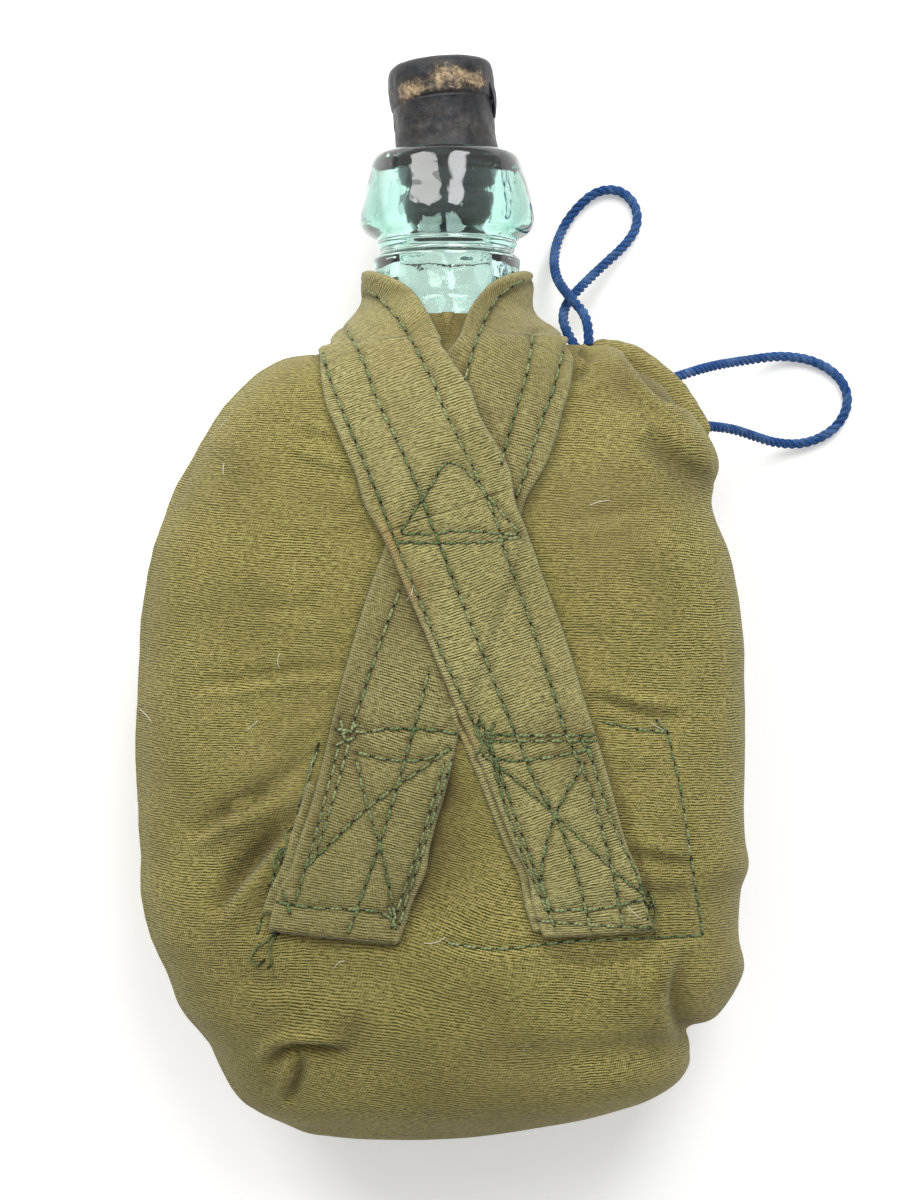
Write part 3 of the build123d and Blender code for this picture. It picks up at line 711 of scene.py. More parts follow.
def rubber_material():
    """Old black rubber: dull, scuffed brown low down, its skin worn to tan at the top."""
    g = Graph("stopper_rubber")
    place = g.place()
    worn = g.attribute("wear")
    fine = g.noise(place, 900.0, 4.0, 0.7)
    blotch = g.noise(place, 220.0, 4.0, 0.65)
    scuff = g.noise(place, 430.0, 4.0, 0.65)
    colour = g.mix(g.band(blotch, 0.35, 0.68), (0.006, 0.007, 0.010), (0.026, 0.026, 0.028))
    low = g.math("MULTIPLY", g.attribute("scuffed"), g.band(scuff, 0.40, 0.74, 0.0, 0.7))
    colour = g.mix(low, colour, (0.090, 0.082, 0.072))
    patchy = g.math("MULTIPLY_ADD", g.math("SUBTRACT", blotch, 0.5), 1.7, worn)
    patchy = g.math("MULTIPLY_ADD", g.math("SUBTRACT", fine, 0.5), 0.9, patchy)
    tan = g.mix(g.band(fine, 0.34, 0.64), (0.13, 0.088, 0.046), (0.50, 0.37, 0.22))
    colour = g.mix(g.band(patchy, 0.16, 0.58, 0.0, 0.75), colour, (0.070, 0.050, 0.030))
    colour = g.mix(g.band(patchy, 0.40, 0.86), colour, tan)
    height = g.math("MULTIPLY_ADD", scuff, 0.5, fine)
    return g.shade({
        "Base Color": colour,
        "Roughness": g.band(blotch, 0.3, 0.7, 0.34, 0.58),
        "Specular IOR Level": 0.35,
        "Normal": g.bump(height, 0.00025, 0.6),
    })


def glass_material():
    """Pale aqua bottle glass: tint grows with depth, faint ripples on the surface."""
    g = Graph("bottle_glass")
    place = g.place()
    ripple = g.noise(g.stretched(place, (60.0, 110.0, 60.0)), 1.0, 2.0, 0.5)
    g.shade({
        "Base Color": (0.955, 0.99, 0.975),
        "Coat Weight": 0.7,
        "Coat Roughness": 0.0,
        "Roughness": g.band(ripple, 0.3, 0.7, 0.0, 0.02),
        "IOR": 1.50,
        "Transmission Weight": 1.0,
    })
    swirl = g.noise(g.stretched(place, (300.0, 170.0, 300.0)), 1.0, 2.0, 0.6, 0.8)
    g.set(g.shader, "Normal", g.bump(g.math("MULTIPLY_ADD", swirl, 0.14, ripple), 0.0011, 0.50))
    depth = g.node("VolumeAbsorption", {"Color": (0.34, 0.76, 0.66), "Density": 54.0})
    g.links.new(depth.outputs["Volume"], g.output.inputs["Volume"])
    return g.material


def bubble_material():
    """The inside of an air bubble in glass."""
    g = Graph("glass_bubble")
    place = g.place()
    skin = g.noise(place, 1500.0, 2.0)
    return g.shade({
        "Base Color": (0.93, 0.99, 0.96),
        "Roughness": g.band(skin, 0.3, 0.7, 0.0, 0.05),
        "IOR": 0.67,
        "Transmission Weight": 1.0,
    })


def floor_material():
    g = Graph("floor")
    place = g.place()
    tone = g.noise(place, 3.0, 2.0)
    return g.shade({
        "Base Color": g.mix(tone, (0.90, 0.90, 0.895), (0.93, 0.93, 0.93)),
        "Roughness": 0.9,
        "Specular IOR Level": 0.1,
        "Emission Color": (1.0, 1.0, 1.0),
        "Emission Strength": 0.22,
    })


# ---- cords ----
def route_curve(name, route):
    """The drawstring's line: a NURBS spline with the route's points as control points."""
    data = bpy.data.curves.new(name, "CURVE")
    data.dimensions = "3D"
    data.resolution_u = 24
    spline = data.splines.new("NURBS")
    spline.points.add(len(route) - 1)
    for point, place in zip(spline.points, route):
        point.co = (*[value * MM for value in place], 1.0)
    spline.order_u = 3
    spline.use_endpoint_u = True
    curve = add_object(name, data)
    bpy.context.view_layer.update()
    line = bpy.data.meshes.new_from_object(curve)
    points = np.array([vertex.co for vertex in line.vertices], float) / MM
    bpy.data.meshes.remove(line)
    bpy.data.objects.remove(curve)
    bpy.data.curves.remove(data)
    return points


def frames_along(points):
    """Tangents and two side directions that don't spin, at each point of a chain."""
    tangents = unit(np.gradient(points, axis=0))
    side = np.cross(tangents[0], (0, 0, 1.0))
    if np.linalg.norm(side) < 0.1:
        side = np.cross(tangents[0], (0, 1.0, 0))
    sides = []
    for tangent in tangents:
        side = side - tangent * (side @ tangent)
        side = side / np.linalg.norm(side)
        sides.append(side)
    sides = np.array(sides)
    return tangents, sides, np.cross(tangents, sides)


def even_turns(around):
    return np.arange(around) * math.tau / around


def ring_directions(sides, ups, around):
    """Turns round a tube, and the outward directions at each of its points."""
    turns = even_turns(around)
    ring = np.cos(turns)[None, :, None] * sides[:, None] + np.sin(turns)[None, :, None] * ups[:, None]
    return turns, ring


def tube_mesh(points, radii, around, first=0):
    """Points, faces and UVs of a tube with rounded ends along a chain of points."""
    tangents, sides, ups = frames_along(points)
    turns, ring = ring_directions(sides, ups, around)
    radii = np.broadcast_to(np.asarray(radii, float), (len(points),))
    body = points[:, None] + ring * radii[:, None, None]
    cap_low = points[0] - tangents[0] * radii[0] * 0.6
    cap_high = points[-1] + tangents[-1] * radii[-1] * 0.6
    faces = grid_faces(len(points), around, closed=True, start=first, flip=True)
    count = len(points) * around
    low, high = first + count, first + count + 1
    last = first + count - around
    for step in range(around):
        after = (step + 1) % around
        faces.append([first + step, first + after, low])
        faces.append([last + after, last + step, high])
    length = length_along(points)
    u = np.broadcast_to(turns / math.tau, (len(points), around))
    v = np.broadcast_to(length[:, None] / 100.0, u.shape)
    uv = np.concatenate([np.stack([u, v], -1).reshape(-1, 2), [[0, 0], [0, length[-1] / 100.0]]])
    return np.concatenate([body.reshape(-1, 3), [cap_low, cap_high]]), faces, uv


class Heap:
    """Several small shapes gathered into one mesh."""

    def __init__(self):
        self.points, self.faces, self.uv, self.count = [], [], [], 0

    def add_tube(self, points, radii, around, uv_along=False):
        verts, faces, uv = tube_mesh(np.asarray(points, float), radii, around, self.count)
        if uv_along:
            uv[:, 1] /= max(uv[:, 1].max(), 1e-9)
        self.points.append(verts)
        self.faces += faces
        self.uv.append(uv)
        self.count += len(verts)

    def piece(self, name, material, slot):
        return mesh_piece(name, np.concatenate(self.points), self.faces, material,
                          uv=np.concatenate(self.uv))


def drawstring(name, route, length, material):
    """A free loop of three-strand cord, with short loose hairs."""
    line = route_curve(name + "_line", route)
    points, marks = resample(line, 0.32)
    tangents, sides, ups = frames_along(points)
    heap = Heap()
    chance = random.Random(len(route))
    strand_offset, strand_radius, lay = 0.62, 0.58, 5.8
    uneven = noise_at(points, 6.0, 3)
    for strand in range(3):
        turn = math.tau * (strand / 3 + marks / lay) + 0.5 * uneven
        swell = 1 + 0.07 * noise_at(points + strand * 40, 2.2, strand)
        offset = strand_offset * (np.cos(turn)[:, None] * sides + np.sin(turn)[:, None] * ups)
        heap.add_tube(points + offset, strand_radius * swell, 12)
    for _ in range(int(length * 1.5)):
        index = chance.randrange(4, len(points) - 4)
        turn = chance.uniform(0, math.tau)
        out = math.cos(turn) * sides[index] + math.sin(turn) * ups[index]
        along = tangents[index] * chance.uniform(-1, 1)
        start = points[index] + out * 0.9
        reach = chance.uniform(0.25, 0.6)
        bend = out * 0.55 + along
        middle = start + (out + along) * reach * 0.5
        tip = start + (out * 0.8 + along + bend) * reach * 0.6
        hair = [np.array([x, y, max(z, HAIR_FLOOR)]) for x, y, z in (start, middle, tip)]
        heap.add_tube(hair, 0.035, 4)
    piece = heap.piece(name, material, "cord_yarn")
    return piece


# ---- the cover ----
def strap_shares(points):
    """How far each point in plan lies inside the under strap and the over strap, in millimetres."""
    depths = []
    for rungs in (UNDER_RUNGS, OVER_RUNGS):
        table = np.array(rungs, float).reshape(len(rungs), 4)
        dense = catmull_rom(table, np.linspace(0, len(rungs) - 1, 120))
        inner, outer = dense[:, :2], dense[:, 2:]
        to_inner = distance_to_line(points, inner)[0]
        to_outer = distance_to_line(points, outer)[0]
        width = np.linalg.norm(inner - outer, axis=1).mean()
        inside = (to_inner < width) & (to_outer < width) & (to_inner + to_outer < width * 1.06)
        depths.append(np.where(inside, np.minimum(to_inner, to_outer), -np.minimum(to_inner, to_outer)))
    return depths


def crease_depth(points):
    """How far the creases push each point in, in millimetres: a groove with a soft ridge beside it."""
    depth = np.zeros(points.shape[:-1])
    for line, width, groove, ridge in CREASES:
        gap, share, side = distance_to_line(points[..., :2], smooth_line(line, 1.0))
        taper = np.sin(math.pi * np.clip(share, 0.0, 1.0)) ** 0.6
        past_end = (share <= 0) | (share >= 1)
        taper = np.where(past_end, 0, taper)
        signed = gap * side * math.copysign(1, ridge)
        cut = np.where(signed > 0, width, 2.2 * width)
        hollow = groove * np.exp(-(gap / cut) ** 2)
        crest = abs(ridge) * np.exp(-((signed - 2.6 * width) / (1.7 * width)) ** 2)
        depth += taper * (hollow - crest)
    x, y, size, height = SHOULDER_BUMP
    depth -= height * np.exp(-(np.hypot(points[..., 0] - x, points[..., 1] - y) / size) ** 2)
    return depth


def cover_shape(first_turn, last_turn, rows, columns):
    """Outer points, normals and UVs of one panel of the cover."""
    turns = np.radians(np.linspace(first_turn, last_turn, columns))
    places = np.linspace(MOUTH_ROW, len(ROWS) - 1, rows)
    row, turn = np.meshgrid(places, turns, indexing="ij")
    points = cover_point(row, turn)
    normals = cover_normal(row, turn)
    down = np.linalg.norm(np.diff(points, axis=0), axis=2)
    v = np.concatenate([np.zeros((1, columns)), np.cumsum(down, 0)])
    middle = np.argmin(np.abs(points[:, :, 1]), axis=0)
    v = v[middle, np.arange(columns)][None, :] - v
    across = np.linalg.norm(np.diff(points, axis=1), axis=2)
    u = np.concatenate([np.zeros((rows, 1)), np.cumsum(across, 1)], 1)
    u = u - u[:, columns // 2][:, None]
    pull = np.hypot((points[..., 0] + 16) / 32, (points[..., 1] + 24) / 34)
    v = v - 10.0 * np.exp(-pull ** 2)
    return points, normals, np.stack([u, v], -1) / 100.0


def cover_panel(name, first_turn, last_turn, material, nodes, front):
    """One panel: a closed shell of cloth with creases, puckers and a pinched side seam."""
    rows, columns, coarse = PANEL_ROWS, PANEL_COLUMNS, LINING_STEP
    points, normals, uv = cover_shape(first_turn, last_turn, rows, columns)
    plan = points[..., :2]
    flat = np.stack([points[..., 0], points[..., 1], points[..., 2] * 0.6], -1)
    wide_seed, fine_seed = (1, 2) if front else (5, 6)
    out = 0.55 * noise_at(flat, 26.0, wide_seed) + 0.22 * noise_at(flat, 9.0, fine_seed)
    dirt_and_shade = 0.18 * smoothstep(0.1, 0.6, noise_at(flat, 22.0, 8))
    stain = np.zeros(points.shape[:-1])
    if front:
        depth = crease_depth(points)
        strap_depth = np.maximum(*strap_shares(plan))
        near = smoothstep(-3.0, 0.5, strap_depth)
        out = out - depth
        out = np.where(out > 0, out * (1 - near), out) - 0.25 * near
        gap = stitch_distance(plan, COVER_STITCHES)
        out = out - 0.45 * np.exp(-(gap / 0.8) ** 2) + 0.18 * np.exp(-((gap - 2.2) / 1.2) ** 2)
        # Painted shade: darker in the crease grooves and under and beside the straps; the DARK_SPOTS
        # darken the places listed there.
        dirt_and_shade += 0.50 * np.clip(depth / 1.8, 0, 1) + 0.35 * smoothstep(-2.2, 0.3, strap_depth)
        for x, y, size, amount in DARK_SPOTS:
            spot = np.hypot(points[..., 0] - x, points[..., 1] - y) / size
            dirt_and_shade += amount * np.exp(-spot ** 2)
    half = np.abs(uv[..., 0] * 100 - (uv[:, -1, 0] * 100)[:, None])
    half = np.minimum(half, np.abs(uv[..., 0] * 100 - (uv[:, 0, 0] * 100)[:, None]))
    pucker = np.sin(uv[..., 1] * 100 * math.tau / 5.2 + 2 * noise_at(flat, 12.0, 4))
    out = out - 1.0 * np.exp(-(half / 1.0) ** 2) + 0.4 * np.exp(-((half - 2.4) / 1.3) ** 2)
    out = out + 0.05 * pucker * np.exp(-(half / 3.0) ** 2)
    bottom = np.minimum(1.0, (points[..., 1] + 95) / 12)
    moved = points + normals * (out * bottom)[..., None]
    moved[..., 2] = np.maximum(moved[..., 2], 0.1)
    inner = points + normals * (np.minimum(out, 0) - CLOTH)[..., None]
    inner = inner[::coarse, ::coarse]
    inner_uv = uv[::coarse, ::coarse]
    inner_rows, inner_columns = inner.shape[:2]
    faces = grid_faces(rows, columns)
    start = rows * columns
    faces += grid_faces(inner_rows, inner_columns, start=start, flip=True)
    for end in (0, rows - 1):
        for step in range(inner_columns - 1):
            outer = [end * columns + step * coarse + k for k in range(coarse + 1)]
            inside = start + (end // coarse) * inner_columns + step
            face = outer[::-1] + [inside, inside + 1]
            faces.append(face if end == 0 else face[::-1])
    for end in (0, columns - 1):
        for step in range(inner_rows - 1):
            outer = [(step * coarse + k) * columns + end for k in range(coarse + 1)]
            inside = start + step * inner_columns + end // coarse
            face = outer + [inside + inner_columns, inside]
            faces.append(face if end == 0 else face[::-1])
    edge_wear = np.exp(-(half / 1.6) ** 2) * 0.8
    values = {"dirt_and_shade": dirt_and_shade, "stain": stain, "wear": edge_wear}
    spread = {key: np.concatenate([numbers.ravel(), numbers[::coarse, ::coarse].ravel()])
              for key, numbers in values.items()}
    both = np.concatenate([moved.reshape(-1, 3), inner.reshape(-1, 3)])
    both_uv = np.concatenate([uv.reshape(-1, 2), inner_uv.reshape(-1, 2)])
    piece = mesh_piece(name, both, faces, material, uv=both_uv, values=spread)
    merge_close(piece)
    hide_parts(*nodes)
    return piece


# ---- straps ----
def strap_rungs():
    """Edges of the whole strap, as turn and place pairs, in order from the lower left end."""
    rungs = []
    for rung in UNDER_RUNGS:
        x, y = np.array(rung).T
        rungs.append(np.stack([turn_at(x, y), y], 1).ravel())
    for rung in NECK_RUNGS:
        rungs.append(np.array([(math.radians(turn), place) for turn, place in rung]).ravel())
    for rung in OVER_RUNGS:
        x, y = np.array(rung).T
        rungs.append(np.stack([turn_at(x, y) - math.tau, y], 1).ravel())
    return np.array(rungs)


def strap_piece(name, rungs, first, last, over, material, nodes, shift=0.0, drop=0.0, start_length=0.0,
                round_first=True, round_last=True):
    """A folded strap over the cover, crowned between its rows of stitches, and its length."""
    dense = catmull_rom(rungs, np.linspace(first, last, 600))
    middle_turn = (dense[:, 0] + dense[:, 2]) / 2
    middle_place = (dense[:, 1] + dense[:, 3]) / 2
    line = cover_point(row_at(middle_turn, middle_place), middle_turn)
    length = length_along(line)
    rows = int(length[-1] / STRAP_ROW_SPACING)
    marks = np.linspace(0, length[-1], rows)
    edges = interpolate(marks, length, dense)
    share = 0.5 - 0.5 * np.cos(np.linspace(0, math.pi, STRAP_COLUMNS))
    share = 0.35 * share + 0.65 * np.linspace(0, 1, STRAP_COLUMNS)
    turn = edges[:, 0, None] * (1 - share) + edges[:, 2, None] * share
    place = edges[:, 1, None] * (1 - share) + edges[:, 3, None] * share
    row = row_at(turn, place)
    base = cover_point(row, turn)
    normals = cover_normal(row, turn)
    plan = base[..., :2]
    width = np.linalg.norm(base[:, -1] - base[:, 0], axis=1)[:, None]
    to_edge = np.minimum(share, 1 - share)[None, :] * width
    to_end = np.full((rows, 1), 99.0)
    if round_first:
        to_end = np.minimum(to_end, marks[:, None])
    if round_last:
        to_end = np.minimum(to_end, (length[-1] - marks)[:, None])
    rim = np.minimum(to_edge, to_end)
    radius = STRAP / 2
    profile = np.sqrt(np.clip(1 - (1 - np.clip(rim / radius, 0, 1)) ** 2, 0, 1))
    front = np.sin(turn) > 0.15
    lift = np.zeros_like(turn)
    if over:
        under_depth = strap_shares(plan)[0]
        lift = np.where(front, (STRAP + 0.15) * smoothstep(-2.6, 0.8, under_depth), 0)
    groups = [key for key in STITCH_ROWS if key not in COVER_STITCHES]
    groups = [key for key in groups if ("under" in key or "left" in key) != over]
    gap = np.where(front, stitch_distance(plan, groups), 99.0)
    gap = np.minimum(gap, np.where(front, 99.0, np.abs(to_edge - 2.0)))
    pillow = 0.38 * (1 - np.exp(-(gap / 2.4) ** 2)) * np.clip(to_edge / 2.0, 0, 1)
    groove = 0.42 * np.exp(-(gap / 0.6) ** 2)
    ripple = 0.10 * np.sin(marks[:, None] * math.tau / STITCH_PITCH) * np.exp(-(gap / 1.8) ** 2)
    uneven = 0.22 * noise_at(base, 14.0, 11) + 0.08 * noise_at(base, 4.0, 12)
    radius = radius * (1 + 0.45 * smoothstep(98, 104, place))
    centre = 0.2 + radius + lift + drop
    top = centre + radius * profile + (pillow - groove + ripple + uneven) * np.clip(rim / 0.9, 0, 1)
    bottom = centre - radius * profile
    top_points = base + normals * top[..., None]
    bottom_points = base + normals * bottom[..., None]
    if shift:
        sideways = unit(base[:, -1] - base[:, 0])[:, None] * shift
        top_points = top_points + sideways
        bottom_points = bottom_points + sideways
    ring = np.concatenate([top_points, bottom_points[:, -2:0:-1]], 1)
    count = ring.shape[1]
    faces = grid_faces(rows, count, closed=True, flip=False)
    if not round_first:
        faces.append(list(range(count))[::-1])
    if not round_last:
        faces.append(list(range((rows - 1) * count, rows * count)))
    across = share[None, :] * width / 100.0
    along = np.broadcast_to((marks + start_length)[:, None] / 100.0, across.shape)
    uv = np.stack([across, along], -1)
    uv = np.concatenate([uv, uv[:, -2:0:-1]], 1).reshape(-1, 2)
    # Painted shade along the stitch grooves, plus patchy dirt.
    dirt_and_shade = 0.45 * np.exp(-(gap / 0.7) ** 2) + 0.22 * smoothstep(0.1, 0.6, noise_at(base, 18.0, 13))
    # The whole under strap is darker, with painted shade where the over strap lies across and beside it.
    if not over:
        beside_over = smoothstep(-3.0, 0.5, strap_shares(plan)[1])
        dirt_and_shade = dirt_and_shade + 0.24 + 0.45 * beside_over * front
    wear = np.exp(-(to_edge / 0.9) ** 2) * 0.75
    stain = np.zeros_like(turn)
    if over:
        for x, y, size in ((-12.8, 43.0, 3.2), (-9.4, 33.0, 3.6), (-11.0, 38.0, 3.0), (4.0, 2.0, 2.6)):
            spot = np.hypot(plan[..., 0] - x, (plan[..., 1] - y) / 1.6)
            stain = np.maximum(stain, 0.42 * np.exp(-(spot / size) ** 2) * front)
    values = {}
    for key, numbers in {"dirt_and_shade": dirt_and_shade, "wear": wear, "stain": stain}.items():
        values[key] = np.concatenate([numbers, numbers[:, -2:0:-1]], 1)
    piece = mesh_piece(name, ring.reshape(-1, 3), faces, material, uv=uv, values=values)
    merge_close(piece)
    for polygon in piece.data.polygons:
        polygon.use_smooth = len(polygon.vertices) <= 4
    if nodes:
        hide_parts(*nodes)
    return piece, length[-1]


# ---- stitches ----
def surface_tree(pieces):
    """A search tree over several pieces, in millimetres."""
    points, faces = [], []
    for piece in pieces:
        first = len(points)
        points += [Vector(vertex.co) / MM for vertex in piece.data.vertices]
        faces += [[first + index for index in polygon.vertices] for polygon in piece.data.polygons]
    return BVHTree.FromPolygons(points, faces)


def drop_on(tree, x, y):
    """Height of the first surface under a point in plan, or None."""
    place, _, _, _ = tree.ray_cast(Vector((x, y, RAY_START)), Vector((0, 0, -1)))
    return None if place is None else place.z


def stitch_group(name, tree, material, chance):
    """Rows of short stitches that dive into the cloth at both ends."""
    heap = Heap()
    for line in STITCH_ROWS[name]:
        chain = smooth_line(line, CHAIN_STEP)
        length = CHAIN_STEP * (len(chain) - 1)
        count = max(2, int(round(length / STITCH_PITCH)))
        ends = np.linspace(0, len(chain) - 1, count + 1)
        for first, last in zip(ends[:-1], ends[1:]):
            trim = (last - first) * chance.uniform(0.02, 0.07)
            marks = np.linspace(first + trim, last - trim, STITCH_POINTS)
            plan = interpolate(marks, np.arange(len(chain)), chain)
            heights = [drop_on(tree, x, y) for x, y in plan]
            if None in heights:
                continue
            straight = np.linspace(heights[0], heights[-1], STITCH_POINTS)
            heights = np.maximum(heights, straight - 0.5)
            arch = np.sin(np.linspace(0, math.pi, STITCH_POINTS))
            rise = -0.16 + 0.34 * arch ** 0.8
            lean = chance.uniform(-0.14, 0.14)
            points = np.column_stack([plan[:, 0] + lean * arch, plan[:, 1], heights + rise])
            radius = THREAD_RADIUS * chance.uniform(0.85, 1.15)
            heap.add_tube(points, radius * (0.95 + 0.1 * arch), 8, uv_along=True)
    piece = heap.piece(name.replace("stitching", "stitches"), material, "green_thread")
    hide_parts(name)


def loose_threads(tree, material):
    """Green thread ends and frayed tails that hang off the corners of the strap ends."""
    heap = Heap()
    tails = [
        [(-36.6, -39.6), (-38.8, -41.6), (-41.2, -43.6), (-42.6, -46.0), (-41.2, -47.4), (-39.4, -46.0)],
        [(-36.2, -40.0), (-38.2, -43.0), (-37.8, -46.6), (-38.8, -47.8)],
        [(-27.4, 1.2), (-28.6, -1.8), (-30.4, -8.6), (-31.8, -12.6)],
        [(-32.6, -17.0), (-34.6, -18.4), (-34.2, -21.0), (-36.0, -22.8), (-35.2, -25.2)],
        [(-33.8, -21.6), (-36.2, -22.0), (-37.2, -25.6), (-35.6, -28.4)],
        [(-35.4, -25.6), (-36.4, -28.2), (-38.4, -29.8)],
        [(7.0, 6.4), (6.0, 3.8), (7.6, 1.2), (6.2, -1.4)], [(43.6, -31.4), (44.8, -33.4), (43.8, -35.0)],
        [(44.2, -33.6), (45.4, -36.0), (44.6, -38.8), (45.2, -40.4)],
        [(48.0, 3.1), (46.6, 4.6), (45.4, 5.8)],
    ]
    for tail in tails:
        plan = smooth_line(tail, 0.5)
        heights = [drop_on(tree, x, y) or 60.0 for x, y in plan]
        points = np.column_stack([plan, np.array(heights) + 0.25])
        heap.add_tube(points, 0.24, 6, uv_along=True)
    return heap.piece("loose_threads", material, "green_thread")


def lint_fibres(tree, material, chance):
    """A few pale fibres caught on the cloth."""
    heap = Heap()
    spots = [(-49.6, 70.9), (-49.0, 60.6), (33.1, 52.8), (-67.2, 6.2), (2.6, 104.0), (-2.6, -41.0),
             (-23.0, -46.5), (-36.0, 18.6), (-42.0, 4.6), (40.5, -35.6), (-8.0, 33.0), (46.0, 4.4)]
    for x, y in spots:
        turn = chance.uniform(0, math.pi)
        reach = chance.uniform(1.0, 2.6)
        bend = chance.uniform(-0.6, 0.6)
        plan = [(x + math.cos(turn) * reach * s - math.sin(turn) * bend * (1 - s * s),
                 y + math.sin(turn) * reach * s + math.cos(turn) * bend * (1 - s * s))
                for s in (-1, -0.5, 0, 0.5, 1)]
        heights = [drop_on(tree, *point) for point in plan]
        if None in heights:
            continue
        points = np.column_stack([plan, np.array(heights) + 0.12])
        heap.add_tube(points, 0.085, 5)
    return heap.piece("lint", material, "cover_cloth")


def lint_material():
    g = Graph("lint")
    place = g.place()
    tone = g.noise(place, 500.0, 2.0)
    return g.shade({
        "Base Color": g.mix(tone, (0.55, 0.48, 0.36), (0.72, 0.70, 0.62)),
        "Roughness": 0.8,
    })


# ---- the drawstring casing ----
def casing_roll(material):
    """The rolled hem on the right shoulder that the drawstring runs in, gathered along its length."""
    line = smooth_line(CASING_ARC, CASING_STEP)
    points = np.column_stack([line, np.full(len(line), CASING_HEIGHT)])
    tangents, sides, ups = frames_along(points)
    inward = np.array([20.0, 60.0, CASING_HEIGHT]) - points
    points = points + unit(inward) * CASING_INSET
    around = 40
    turns, ring = ring_directions(sides, ups, around)
    marks = np.arange(len(points)) * CASING_STEP
    ends = np.clip(np.minimum(marks, marks[-1] - marks) / 2.5, 0, 1) ** 0.5
    flatness = 1 + 0.35 * np.abs(np.cos(turns))[None, :]
    radius = CASING_RADIUS * (0.35 + 0.65 * ends[:, None]) * flatness
    body = points[:, None] + ring * radius[..., None]
    lumps = 0.55 * noise_at(body, 7.0, 21) + 0.2 * noise_at(body, 2.6, 22)
    body = body + ring * (lumps * ends[:, None])[..., None]
    count = len(points) * around
    faces = grid_faces(len(points), around, closed=True, flip=True)
    faces.append(list(range(around)))
    faces.append(list(range(count - around, count))[::-1])
    # Painted shade: the roll darkens on the side that faces in towards the flask.
    facing = np.sum(ring * unit(inward)[:, None], -1)
    shaded = 0.12 + 0.55 * smoothstep(0.0, 0.8, facing)
    values = {"dirt_and_shade": shaded, "stain": np.zeros(count), "wear": np.full(count, 0.1)}
    piece = mesh_piece("drawstring_casing", body.reshape(-1, 3), faces, material,
                       uv=(body[..., :2] / 100).reshape(-1, 2), values=values)
    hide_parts("mouth_casing", "drawstring_inner")
    return piece


# ---- glass ----
FLASK_ROWS = np.array([  # place along the neck, half width, half depth, roundness
    (-81.0, 0.1, 0.1, 2.0), (-81.0, 20.0, 8.0, 2.0), (-80.6, 34.0, 15.0, 2.0), (-78.0, 43.0, 21.0, 2.1),
    (-70.0, 46.5, 26.0, 2.15), (-60.0, 52.0, 28.8, 2.2), (-50.0, 58.5, 30.8, 2.25),
    (-25.0, 64.6, 32.8, 2.25), (5.0, 65.2, 33.1, 2.25), (35.0, 62.6, 32.2, 2.25),
    (56.0, 55.0, 29.8, 2.2), (70.0, 47.8, 26.8, 2.15), (80.0, 37.0, 22.8, 2.1),
    (85.5, 28.2, 19.8, 2.05), (90.0, 21.6, 17.6, 2.0), (93.5, 17.9, 16.7, 2.0),
    (97.0, 16.5, 16.4, 2.0), (101.0, 16.4, 16.4, 2.0), (106.0, 16.5, 16.5, 2.0),
])
COLLAR = [(16.5, 106.5), (16.7, 108.0), (16.6, 109.2), (15.5, 110.1), (15.3, 111.2), (15.9, 112.2),
          (15.8, 113.1), (16.6, 113.9), (18.4, 115.0), (19.6, 116.6), (19.85, 118.6), (19.4, 121.4),
          (18.7, 124.8), (17.7, 128.8), (17.1, 130.9), (16.2, 132.3), (14.8, 133.0), (13.2, 133.1),
          (12.3, 132.7), (11.95, 131.9)]
BORE = [(11.8, 130.5), (11.1, 128.2), (10.75, 126.5), (10.75, 118.0), (10.75, 106.0), (11.2, 99.0)]


def glass_flask(material):
    """The whole flask as one skin: outside up to the lip, then down the bore to the base."""
    around = REVOLVED_POINTS
    turns = even_turns(around)
    outside = catmull_rom(FLASK_ROWS, np.linspace(0, len(FLASK_ROWS) - 1, 90))
    inside = outside[:int(len(outside) * 0.86)][::-1].copy()
    inside[:, 1:3] = np.maximum(inside[:, 1:3] - GLASS_WALL, 0.1)
    inside[:, 0] = np.maximum(inside[:, 0], INNER_BASE)
    collar = catmull_rom(COLLAR, np.linspace(0, len(COLLAR) - 1, 64))
    bore = catmull_rom(BORE, np.linspace(0, len(BORE) - 1, 30))
    rounds = [np.column_stack([part[:, 1], part[:, 0], part[:, 0], np.full(len(part), 2.0)])
              for part in (collar, bore)]
    table = np.concatenate([outside, *rounds, inside])
    place, width, depth, power = (table[:, index][:, None] for index in range(4))
    x = width * signed_power(np.cos(turns)[None, :], 2 / power)
    z = MIDDLE + depth * signed_power(np.sin(turns)[None, :], 2 / power)
    points = np.stack([x, np.broadcast_to(place, x.shape), z], -1)
    neck = smoothstep(90, 100, place)
    wall = np.stack([x, np.zeros_like(x), z - MIDDLE], -1)
    outward = unit(wall)
    wavy = 0.26 * noise_at(points, 9.0, 31) + 0.12 * noise_at(points, 3.6, 32)
    bore_start = len(outside) + len(collar)
    side = np.where(np.arange(len(table)) >= bore_start, 1.2, 0.9)[:, None]
    points = points + outward * (wavy * neck * side)[..., None]
    faces = tube_faces(len(table), around)
    piece = mesh_piece("flask", points.reshape(-1, 3), faces, material)
    merge_close(piece)
    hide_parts("glass_flask")
    return piece


def glass_bubbles(material, chance):
    """Air bubbles inside the wall of the neck."""
    heap = Heap()
    for _ in range(BUBBLE_COUNT):
        turn = chance.uniform(0, math.tau)
        place = chance.uniform(97, 128)
        radius = 13.6 + chance.uniform(-1.0, 1.2)
        size = chance.choice([0.16, 0.2, 0.25, 0.32])
        centre = np.array([radius * math.cos(turn), place, MIDDLE + radius * math.sin(turn)])
        length = size * chance.uniform(1.0, 2.2)
        points = [centre + np.array([0, length * share, 0]) for share in (-1, -0.7, -0.3, 0.3, 0.7, 1)]
        heap.add_tube(points, np.array([0.3, 0.75, 1, 1, 0.75, 0.3]) * size, 8)
    return heap.piece("glass_bubbles", material, "bottle_glass")


